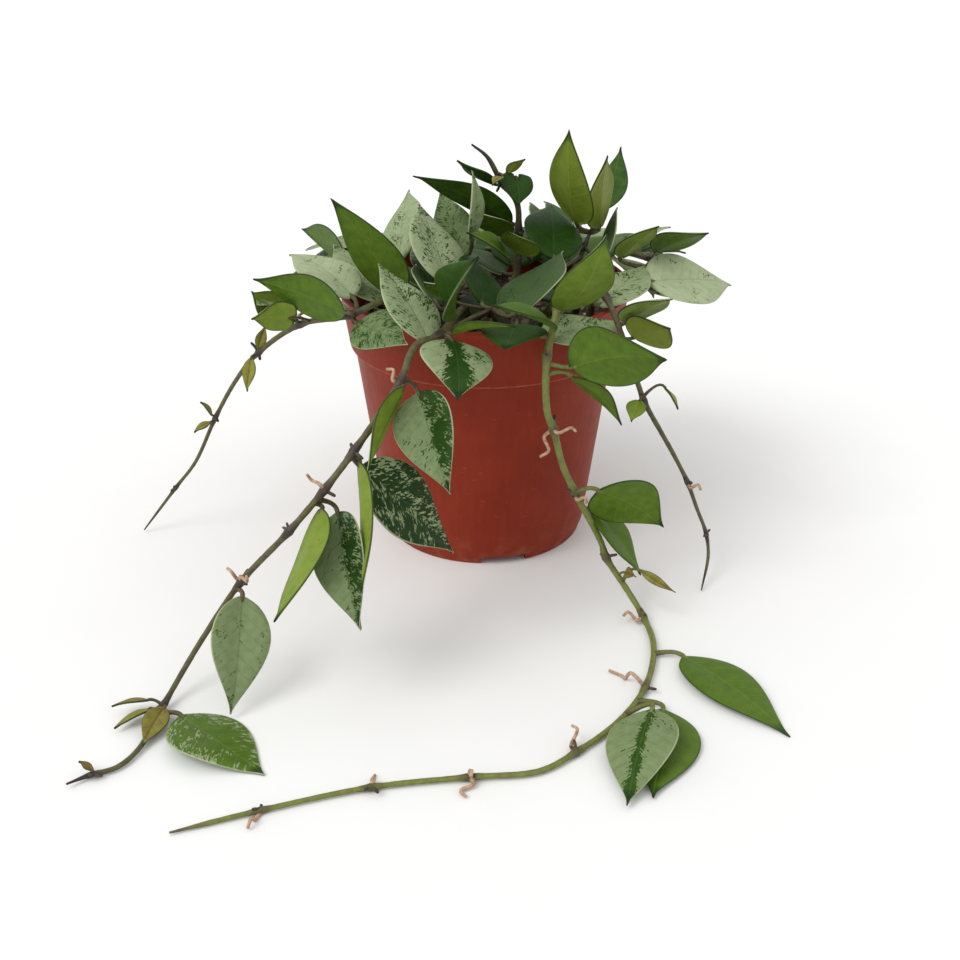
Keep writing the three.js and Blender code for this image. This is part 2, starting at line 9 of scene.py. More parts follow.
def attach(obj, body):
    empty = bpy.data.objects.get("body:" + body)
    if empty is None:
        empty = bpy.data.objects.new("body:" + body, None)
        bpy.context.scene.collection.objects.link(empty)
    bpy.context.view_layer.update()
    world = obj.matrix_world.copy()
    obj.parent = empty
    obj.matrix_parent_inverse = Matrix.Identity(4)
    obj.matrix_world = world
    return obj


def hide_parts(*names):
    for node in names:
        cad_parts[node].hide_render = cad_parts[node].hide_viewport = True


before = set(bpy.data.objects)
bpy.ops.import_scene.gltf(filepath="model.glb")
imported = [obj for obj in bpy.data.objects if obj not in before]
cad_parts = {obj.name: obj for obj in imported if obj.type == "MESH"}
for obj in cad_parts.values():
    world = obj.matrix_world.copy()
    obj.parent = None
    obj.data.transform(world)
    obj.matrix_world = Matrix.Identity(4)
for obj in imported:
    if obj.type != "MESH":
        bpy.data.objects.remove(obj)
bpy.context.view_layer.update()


# Camera, table and lights: the plant stands on a pale table and is seen from a little above its rim.
# The light is soft daylight, brightest from the upper left.
MM = 0.001
PICTURE_PX = 960
FOCAL_PX = 1364
POT_AXIS_PX = 4.4  # right of the picture's middle
CAMERA_PLACE = (0, -538, 291)
CAMERA_PITCH = 26.9
TABLE_HALF = 60  # metres, so that its edge is lost in the distance
DAYLIGHT_SPREAD = 35  # degrees
DAYLIGHT_POWER = 1.4
DAYLIGHT_DIRECTION = (0.7, 0.5, -0.95)
ROOM_POWER = 0.95

camera_data = bpy.data.cameras.new("camera")
camera_data.sensor_width = 36
camera_data.lens = FOCAL_PX * camera_data.sensor_width / PICTURE_PX
camera_data.shift_x = -POT_AXIS_PX / PICTURE_PX
camera = bpy.data.objects.new("camera", camera_data)
camera.location = Vector(CAMERA_PLACE) * MM
camera.rotation_euler = (math.radians(90 - CAMERA_PITCH), 0, 0)
bpy.context.scene.collection.objects.link(camera)
bpy.context.scene.camera = camera
bpy.context.scene.view_settings.view_transform = "Standard"


class Finish:
    """A value or colour inside a material. Arithmetic on it adds Math nodes."""

    def __init__(self, tree, socket=None):
        self.tree = tree
        self.socket = socket

    def node(self, kind, settings, inputs, output=0):
        made = self.tree.nodes.new(kind)
        for name, value in settings.items():
            if name == "stops":
                ramp = made.color_ramp.elements
                while len(ramp) < len(value):
                    ramp.new(1)
                for stop, (place, colour) in zip(ramp, value):
                    stop.position = place
                    stop.color = (*colour, 1)
            else:
                setattr(made, name, value)
        for name, value in inputs.items():
            if isinstance(value, Finish):
                self.tree.links.new(made.inputs[name], value.socket)
            else:
                made.inputs[name].default_value = value
        return Finish(self.tree, made.outputs[output])

    def maths(self, operation, *values):
        return self.node("ShaderNodeMath", {"operation": operation}, dict(enumerate(values)))

    def __add__(self, other):
        return self.maths("ADD", self, other)

    def __sub__(self, other):
        return self.maths("SUBTRACT", self, other)

    def __rsub__(self, other):
        return self.maths("SUBTRACT", other, self)

    def __mul__(self, other):
        return self.maths("MULTIPLY", self, other)

    __radd__ = __add__
    __rmul__ = __mul__

    def between(self, low, high):
        """0 below low and 1 above high, with a soft step."""
        settings = {"interpolation_type": "SMOOTHSTEP"}
        return self.node("ShaderNodeMapRange", settings, {0: self, 1: low, 2: high, 3: 0, 4: 1})

    def parts(self):
        return [self.node("ShaderNodeSeparateXYZ", {}, {0: self}, i) for i in range(3)]

    def vector(self, x, y, z):
        return self.node("ShaderNodeCombineXYZ", {}, {0: x, 1: y, 2: z})

    def attribute(self, name, output="Fac"):
        return self.node("ShaderNodeAttribute", {"attribute_name": name}, {}, output)

    def millimetres(self):
        """The place on the object, in millimetres."""
        place = self.node("ShaderNodeTexCoord", {}, {}, "Object")
        return self.node("ShaderNodeVectorMath", {"operation": "SCALE"}, {0: place, "Scale": 1 / MM})

    def cloud(self, place, scale, detail=2, output="Fac"):
        inputs = {"Vector": place, "Scale": scale, "Detail": detail}
        return self.node("ShaderNodeTexNoise", {}, inputs, output)

    def blend(self, share, first, second):
        colours = {name: value if isinstance(value, Finish) else (*value, 1)
                   for name, value in ((6, first), (7, second))}
        return self.node("ShaderNodeMix", {"data_type": "RGBA"}, {0: share, **colours}, 2)

    def ramp(self, stops):
        return self.node("ShaderNodeValToRGB", {"stops": stops}, {0: self})


def finished(name, colour, roughness, height=None, **constants):
    """A material. Functions of a Finish make its colour, its roughness and its height in millimetres."""
    material = bpy.data.materials.new(name)
    material.use_nodes = True
    tree = material.node_tree
    shader = tree.nodes["Principled BSDF"]
    start = Finish(tree)
    for socket, value in constants.items():
        shader.inputs[socket.replace("_", " ")].default_value = value
    tree.links.new(shader.inputs["Base Color"], colour(start).socket)
    tree.links.new(shader.inputs["Roughness"], roughness(start).socket)
    if height:
        bump = start.node("ShaderNodeBump", {}, {"Height": height(start), "Distance": MM, "Strength": 1})
        tree.links.new(shader.inputs["Normal"], bump.socket)
    return material


def new_object(name, bm, materials):
    """A finished piece at the origin, with its place in its mesh."""
    mesh = bpy.data.meshes.new(name)
    bm.to_mesh(mesh)
    bm.free()
    for material in materials:
        mesh.materials.append(material)
    mesh.shade_smooth()
    piece = bpy.data.objects.new(name, mesh)
    bpy.context.scene.collection.objects.link(piece)
    return piece


def ride_and_replace(piece, slot, *nodes):
    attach(piece, "root")
    if nodes:
        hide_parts(*nodes)


table_finish = finished(
    "pale_table",
    lambda f: f.cloud(f.millimetres(), 0.02).ramp([(0, (0.81, 0.81, 0.80)), (1, (0.84, 0.84, 0.83))]),
    lambda f: f.cloud(f.millimetres(), 0.05) * 0.1 + 0.6,
)
bm = bmesh.new()
bmesh.ops.create_grid(bm, x_segments=1, y_segments=1, size=TABLE_HALF)
table = new_object("table", bm, [table_finish])

daylight = bpy.data.lights.new("daylight", "SUN")
daylight.angle = math.radians(DAYLIGHT_SPREAD)
daylight.energy = DAYLIGHT_POWER
sun = bpy.data.objects.new("daylight", daylight)
sun.rotation_euler = Vector(DAYLIGHT_DIRECTION).to_track_quat("-Z", "Y").to_euler()
bpy.context.scene.collection.objects.link(sun)
world = bpy.data.worlds.new("room")
world.use_nodes = True
background = world.node_tree.nodes["Background"]
background.inputs["Color"].default_value = (1, 1, 1, 1)
background.inputs["Strength"].default_value = ROOM_POWER
bpy.context.scene.world = world


# Pot: one thin-walled injection-moulded polypropylene nursery pot, with a wider collar that stiffens its
# rim, a notched foot ring that lets water away, and drain holes round a flat pad in its floor.
RIM_RADIUS = 60
RIM_HEIGHT = 110
COLLAR_LOW_RADIUS = 56.1
COLLAR_LOW = 86
WALL_TOP_RADIUS = 54.2
WALL_LOW_RADIUS = 43.6
FOOT_RADIUS = 42.2
FOOT_WIDTH = 3.2
FOOT_HEIGHT = 3
WALL = 1.4
PAD_RADIUS = 9
POT_SIDES = 160
NOTCH_WIDTH = 19
NOTCHES = 4
FIRST_NOTCH = -79  # degrees from +X
DRAIN_HOLES = 8
DRAIN_RADIUS = 2.5
DRAIN_CIRCLE = 28
LIP_BEAD = 0.7  # the rim's edge is a small round bead
FLOOR_TOP = FOOT_HEIGHT + WALL


def spin(profile, sides):
    """A closed solid of revolution. Its profile, in millimetres, starts and ends on the axis."""
    bm = bmesh.new()
    points = [bm.verts.new((radius * MM, 0, height * MM)) for radius, height in profile]
    edges = [bm.edges.new(pair) for pair in zip(points, points[1:])]
    bmesh.ops.spin(bm, geom=points + edges, cent=(0, 0, 0), axis=(0, 0, 1), angle=2 * math.pi,
                   steps=sides, use_merge=True)
    bmesh.ops.remove_doubles(bm, verts=bm.verts[:], dist=1e-6)
    bmesh.ops.recalc_face_normals(bm, faces=bm.faces[:])
    return bm


def arc(centre, radius, start, end, steps):
    angles = [math.radians(start + (end - start) * i / steps) for i in range(steps + 1)]
    return [(centre[0] + radius * math.cos(a), centre[1] + radius * math.sin(a)) for a in angles]


pot_profile = [
    (0, 0),
    *arc((PAD_RADIUS - 0.4, 0.4), 0.4, -90, 0, 3),
    (PAD_RADIUS + 0.6, FOOT_HEIGHT - 0.5),
    (PAD_RADIUS + 1.2, FOOT_HEIGHT),
    (FOOT_RADIUS - FOOT_WIDTH - 0.5, FOOT_HEIGHT),
    (FOOT_RADIUS - FOOT_WIDTH, FOOT_HEIGHT - 0.5),
    *arc((FOOT_RADIUS - FOOT_WIDTH + 0.9, 0.5), 0.5, 180, 270, 3),
    *arc((FOOT_RADIUS - 0.6, 0.6), 0.6, -90, -10, 3),
    (FOOT_RADIUS + 0.5, FOOT_HEIGHT - 0.6),
    *arc((WALL_LOW_RADIUS - 1.2, FOOT_HEIGHT + 1.6), 1.2, -50, -8, 4),
    (WALL_TOP_RADIUS - 0.1, COLLAR_LOW - 1.6),
    (WALL_TOP_RADIUS + 0.2, COLLAR_LOW - 0.9),
    (COLLAR_LOW_RADIUS - 0.6, COLLAR_LOW - 0.5),
    *arc((COLLAR_LOW_RADIUS - 0.5, COLLAR_LOW), 0.5, -90, 10, 4),
    (RIM_RADIUS - 0.9, RIM_HEIGHT - 4.2),
    (RIM_RADIUS - 0.7, RIM_HEIGHT - 2.4),
    *arc((RIM_RADIUS - LIP_BEAD, RIM_HEIGHT - 1.1), LIP_BEAD, -60, 90, 7),
    *arc((RIM_RADIUS - WALL - 0.1, RIM_HEIGHT - 0.8), 0.5, 90, 180, 3),
    (COLLAR_LOW_RADIUS - WALL, COLLAR_LOW + 1),
    (WALL_TOP_RADIUS - WALL, COLLAR_LOW - 1),
    (WALL_LOW_RADIUS - WALL, FLOOR_TOP + 2),
    (WALL_LOW_RADIUS - WALL - 2, FLOOR_TOP),
    (0, FLOOR_TOP),
]


def pot_plastic_colour(f):
    """Terracotta red with faint flow streaks down the wall, scuffs, low dust and a painted highlight: a
    pale line along the collar's lower edge.
    """
    place = f.millimetres()
    x, y, z = place.parts()
    streaks = f.cloud(f.vector(x * 0.5, y * 0.5, z * 0.03), 1, 3)
    patches = f.cloud(place, 0.05, 3)
    body = f.blend(streaks, (0.195, 0.019, 0.006), (0.255, 0.030, 0.010))
    body = f.blend(patches.between(0.35, 0.75) * 0.5, body, (0.17, 0.015, 0.005))
    scuffs = f.cloud(f.vector(x * 0.8, y * 0.8, z * 4), 0.25, 4).between(0.66, 0.74)
    body = f.blend(scuffs * 0.2, body, (0.50, 0.16, 0.10))
    # Painted highlight: a pale line just below the collar's lower edge, where light catches its small step.
    edge = z.between(COLLAR_LOW - 0.9, COLLAR_LOW - 0.3) * (1 - z.between(COLLAR_LOW, COLLAR_LOW + 0.5))
    body = f.blend(edge * (streaks * 0.6), body, (0.48, 0.15, 0.09))
    dust = (1 - z.between(0, 16)) * f.cloud(place, 0.12, 4).between(0.4, 0.7)
    return f.blend(dust * 0.3, body, (0.36, 0.16, 0.10))


def pot_plastic_height(f):
    place = f.millimetres()
    x, y, z = place.parts()
    return f.cloud(place, 1.6, 2) * 0.05 + f.cloud(f.vector(x, y, z * 0.05), 0.35, 2) * 0.12


pot_plastic = finished(
    "pot_plastic",
    pot_plastic_colour,
    lambda f: f.cloud(f.millimetres(), 0.15, 4) * 0.22 + 0.40,
    pot_plastic_height,
    Specular_IOR_Level=0.14,
)

pot_moulding = new_object("pot_moulding", spin(pot_profile, POT_SIDES), [pot_plastic])
bm = bmesh.new()
for i in range(NOTCHES):
    turn = Matrix.Rotation(math.radians(FIRST_NOTCH + 360 / NOTCHES * i), 4, "Z")
    place = turn @ Matrix.Translation((FOOT_RADIUS * MM, 0, 0))
    box = bmesh.ops.create_cube(bm, size=1, matrix=place @ Matrix.Diagonal(
        (FOOT_WIDTH * 3 * MM, NOTCH_WIDTH * MM, FOOT_HEIGHT * 2 * MM, 1)))
    edges = {edge for vert in box["verts"] for edge in vert.link_edges}
    bmesh.ops.bevel(bm, geom=list(edges), offset=0.8 * MM, affect="EDGES", segments=2, profile=0.5,
                    material=-1)
for i in range(DRAIN_HOLES):
    turn = Matrix.Rotation(math.radians(360 / DRAIN_HOLES * i), 4, "Z")
    place = turn @ Matrix.Translation((DRAIN_CIRCLE * MM, 0, FOOT_HEIGHT * MM))
    bmesh.ops.create_cone(bm, cap_ends=True, segments=24, radius1=DRAIN_RADIUS * MM,
                          radius2=DRAIN_RADIUS * MM, depth=WALL * 4 * MM, matrix=place)
cutter = new_object("cutter", bm, [])
cut = pot_moulding.modifiers.new("notches_and_holes", "BOOLEAN")
cut.operation = "DIFFERENCE"
cut.solver = "EXACT"
cut.object = cutter
graph = bpy.context.evaluated_depsgraph_get()
pot_moulding.data = bpy.data.meshes.new_from_object(pot_moulding.evaluated_get(graph))
pot_moulding.modifiers.clear()
bpy.data.objects.remove(cutter)
pot_moulding.data.shade_smooth()
pot_moulding.data.set_sharp_from_angle(angle=math.radians(40))
ride_and_replace(pot_moulding, "pot", "pot")


# Potting mix: loose, dark peat and fine bark that fills the pot to a finger below its rim, uneven on top,
# with larger chips of coconut husk and grains of perlite lying on it.
SOIL_TOP = 97
SOIL_MOUND = 2
SOIL_RADIUS = 54.6
SOIL_SIDES = 96
SOIL_ROUGHNESS = 1.1
SOIL_RINGS = 30
CHIPS = 190
GRAINS = 46
CHIP_TILT = 0.5
dice = random.Random(11)

soil_profile = [
    (0, FLOOR_TOP + 0.4),
    (WALL_LOW_RADIUS - WALL - 2.4, FLOOR_TOP + 0.4),
    (WALL_LOW_RADIUS - WALL - 0.5, FLOOR_TOP + 3),
    (WALL_TOP_RADIUS - WALL - 0.5, COLLAR_LOW - 1),
    (SOIL_RADIUS, SOIL_TOP - SOIL_MOUND - 1),
]
for i in range(SOIL_RINGS, -1, -1):
    share = i / SOIL_RINGS
    soil_profile.append((share * (SOIL_RADIUS - 0.4), SOIL_TOP - SOIL_MOUND * share ** 2))
bm = spin(soil_profile, SOIL_SIDES)
for vert in bm.verts:
    if vert.co.z > (SOIL_TOP - SOIL_MOUND - 0.6) * MM:
        lumps = noise.noise(vert.co / (7 * MM)) + 0.6 * noise.noise(vert.co / (2.6 * MM))
        vert.co.z += SOIL_ROUGHNESS * lumps * MM


def peat_colour(f):
    place = f.millimetres()
    crumbs = f.node("ShaderNodeTexVoronoi", {}, {"Vector": place, "Scale": 0.9}, "Color").parts()[0]
    dark = f.blend(crumbs, (0.018, 0.011, 0.007), (0.095, 0.060, 0.036))
    return f.blend(f.cloud(place, 0.5, 4).between(0.5, 0.75), dark, (0.14, 0.10, 0.06))


def peat_height(f):
    place = f.millimetres()
    crumbs = f.node("ShaderNodeTexVoronoi", {}, {"Vector": place, "Scale": 0.9}, "Distance")
    return f.cloud(place, 1.8, 4) * 0.5 - crumbs * 0.4


peat = finished("peat", peat_colour, lambda f: f.cloud(f.millimetres(), 0.8) * 0.1 + 0.82, peat_height)
potting_mix = new_object("potting_mix", bm, [peat])
ride_and_replace(potting_mix, "soil", "soil")


def husk_colour(f):
    place = f.millimetres()
    x, y, z = place.parts()
    fibres = f.cloud(f.vector(x * 2.2, y * 0.5, z * 2.2), 1, 4)
    pieces = f.cloud(place, 0.13, 0).between(0.35, 0.65)
    bark = f.blend(fibres, (0.055, 0.030, 0.018), (0.24, 0.16, 0.095))
    return f.blend(pieces * 0.6, bark, (0.30, 0.27, 0.19))


def husk_height(f):
    x, y, z = f.millimetres().parts()
    return f.cloud(f.vector(x * 2.2, y * 0.5, z * 2.2), 1, 4) * 0.4


husk = finished("husk", husk_colour, lambda f: f.cloud(f.millimetres(), 0.5) * 0.15 + 0.75, husk_height)
perlite = finished(
    "perlite",
    lambda f: f.cloud(f.millimetres(), 0.7, 3).ramp([(0, (0.45, 0.42, 0.36)), (1, (0.75, 0.73, 0.68))]),
    lambda f: f.cloud(f.millimetres(), 1) * 0.1 + 0.8,
    lambda f: f.cloud(f.millimetres(), 1.5, 3) * 0.3,
)
bm = bmesh.new()
for i in range(CHIPS + GRAINS):
    radius = SOIL_RADIUS * 0.94 * math.sqrt(dice.random())
    angle = dice.uniform(0, 2 * math.pi)
    height = SOIL_TOP - SOIL_MOUND * (radius / SOIL_RADIUS) ** 2 + dice.uniform(0.1, 1.1)
    place = Matrix.Translation(Vector((radius * math.cos(angle), radius * math.sin(angle), height)) * MM)
    tilt = (Matrix.Rotation(dice.uniform(-CHIP_TILT, CHIP_TILT), 4, "X")
            @ Matrix.Rotation(dice.uniform(-CHIP_TILT, CHIP_TILT), 4, "Y"))
    place = place @ Matrix.Rotation(dice.uniform(0, 6.3), 4, "Z") @ tilt
    if i < CHIPS:  # the rest are grains of perlite
        size = (dice.uniform(2.5, 8), dice.uniform(1.6, 4), dice.uniform(0.8, 2))
        made = bmesh.ops.create_cube(bm, size=MM, matrix=place @ Matrix.Diagonal((*size, 1)))
        for vert in made["verts"]:
            vert.co += Vector([dice.uniform(-0.35, 0.35) * MM for axis in range(3)])
        edges = {edge for vert in made["verts"] for edge in vert.link_edges}
        bmesh.ops.bevel(bm, geom=list(edges), offset=0.22 * MM, affect="EDGES", segments=1, profile=0.5,
                        material=-1)
    else:
        before = set(bm.faces)
        bmesh.ops.create_icosphere(bm, subdivisions=1, radius=dice.uniform(0.6, 1.4) * MM, matrix=place)
        for face in set(bm.faces) - before:
            face.material_index = 1
top_dressing = new_object("top_dressing", bm, [husk, perlite])
ride_and_replace(top_dressing, "soil")


# Stems: semi-woody vines, olive to brown, that swell into ringed joints with short spurs where leaves
# grow or have fallen. Pale aerial roots grow from some joints. Young tips are thin and dark.
STEMS = {  # radius at the root and the tip, route, places on it with a joint, aerial roots, greenness
    "vine_far_left": (
        (1.5, 0.6),
        [(-20, -20, 85), (-20, -20, 101), (-26, -33, 114), (-35, -43, 118), (-51, -49, 113),
         (-72, -35, 104), (-91, -24, 88), (-103, -15, 72), (-114, -11, 53), (-124, -12, 33),
         (-134, -11, 20), (-149, -15, 1.2)],
        [3, 4, 5, 6, 8, 10],
        [(4, (-53, -53, 119)), (5, (-70, -38, 110))],
        0.35,
    ),
    "vine_left": (
        (1.5, 0.85),
        [(-6, -30, 85), (-6, -30, 101), (-8, -42, 113), (-17, -66, 111), (-25, -76, 111), (-30, -88, 102),
         (-37, -96, 93), (-46, -106, 83), (-56, -114, 72), (-69, -117, 57), (-87, -120, 38),
         (-100, -125, 20), (-107, -131, 10), (-113, -144, 2.6), (-117, -169, 1.6), (-122, -178, 1.5),
         (-130, -182, 1.5), (-136, -187, 2)],
        [3, 5, 7, 8, 9, 10, 13, 16],
        [(5, (-35, -86, 106)), (8, (-62, -112, 77)), (10, (-92, -117, 42)), (10, (-84, -124, 43))],
        0.3,
    ),
    "vine_right": (
        (1.5, 0.8),
        [(22, -34, 85), (22, -34, 101), (25, -44, 114), (27, -57, 118), (23, -70, 105), (23.5, -72, 83),
         (26, -71, 75.5), (30, -71, 60), (35, -72, 49), (46, -70, 26), (48, -71, 20), (57, -77, 7.5),
         (62, -87, 2.4), (64, -106, 1.8), (58, -133, 1.8), (46, -154, 1.7), (31, -170, 1.7),
         (18, -180, 1.6), (-5, -183, 1.6), (-37, -188, 1.5), (-71, -199, 1.4), (-98, -209, 1)],
        [3, 4, 6, 8, 10, 12, 14, 16, 18, 19, 20],
        [(6, (21, -75, 66)), (6, (34, -76, 77)), (8, (39, -77, 47)), (12, (54, -89, 4)),
         (14, (46, -121, 0.8)), (16, (30, -160, 5)), (18, (-4, -186, 7)), (18, (-6, -192, 1)),
         (19, (-36, -181, 1)), (20, (-74, -207, 1))],
        1,
    ),
    "vine_far_right": (
        (1.4, 0.6),
        [(36, -20, 85), (36, -20, 101), (41, -32, 117), (46, -45, 119), (58, -59, 90), (61, -59, 82),
         (69, -56, 67), (75, -54, 56), (81, -53, 44), (86, -51, 31), (91, -49, 18), (92, -52, 10),
         (88, -65, 1)],
        [3, 5, 8, 10],
        [(8, (86, -56, 42))],
        0.3,
    ),
    "shoot_upright": (
        (1.8, 0.9),
        [(12, 4, 85), (12, 4, 101), (14, 5, 116), (14, 5, 129), (13, 4, 142), (7, 3, 150), (1, 1, 161),
         (-5, 0, 166)],
        [3, 5], [], 0.1,
    ),
    "shoot_left": (
        (1.5, 1.1), [(-12, -12, 85), (-12, -12, 101), (-11, -10, 112), (-10, -8, 120)], [2, 3], [], 0.4,
    ),
    "shoot_front": (
        (1.5, 1.1), [(4, -22, 85), (4, -22, 101), (2, -34, 108), (3, -45, 114)], [2], [], 0.4,
    ),
    "shoot_back_right": (
        (1.6, 1.1), [(34, 10, 85), (34, 10, 101), (39, 11, 114), (42, 12, 122), (44, 15, 126)],
        [3, 4], [], 0.5,
    ),
    "shoot_right": (
        (1.6, 1.1),
        [(44, -6, 85), (44, -6, 101), (50, -13, 112), (57, -18, 117), (64, -12, 119), (68, 0, 119)],
        [3, 5], [], 0.4,
    ),
    "leafy_shoot_back_left": (
        (1.5, 0.9), [(-26, 22, 85), (-26, 22, 101), (-32, 34, 112), (-42, 52, 112), (-49, 64, 103)],
        [2, 3], [], 0.4,
    ),
    "leafy_shoot_back": (
        (1.5, 0.9), [(2, 32, 85), (2, 32, 101), (4, 44, 112), (5, 60, 113), (4, 73, 101)],
        [2, 3], [], 0.4,
    ),
    "leafy_shoot_back_right": (
        (1.5, 0.9), [(32, 30, 85), (32, 30, 101), (39, 40, 112), (50, 52, 111), (57, 61, 102)],
        [2, 3], [], 0.4,
    ),
}

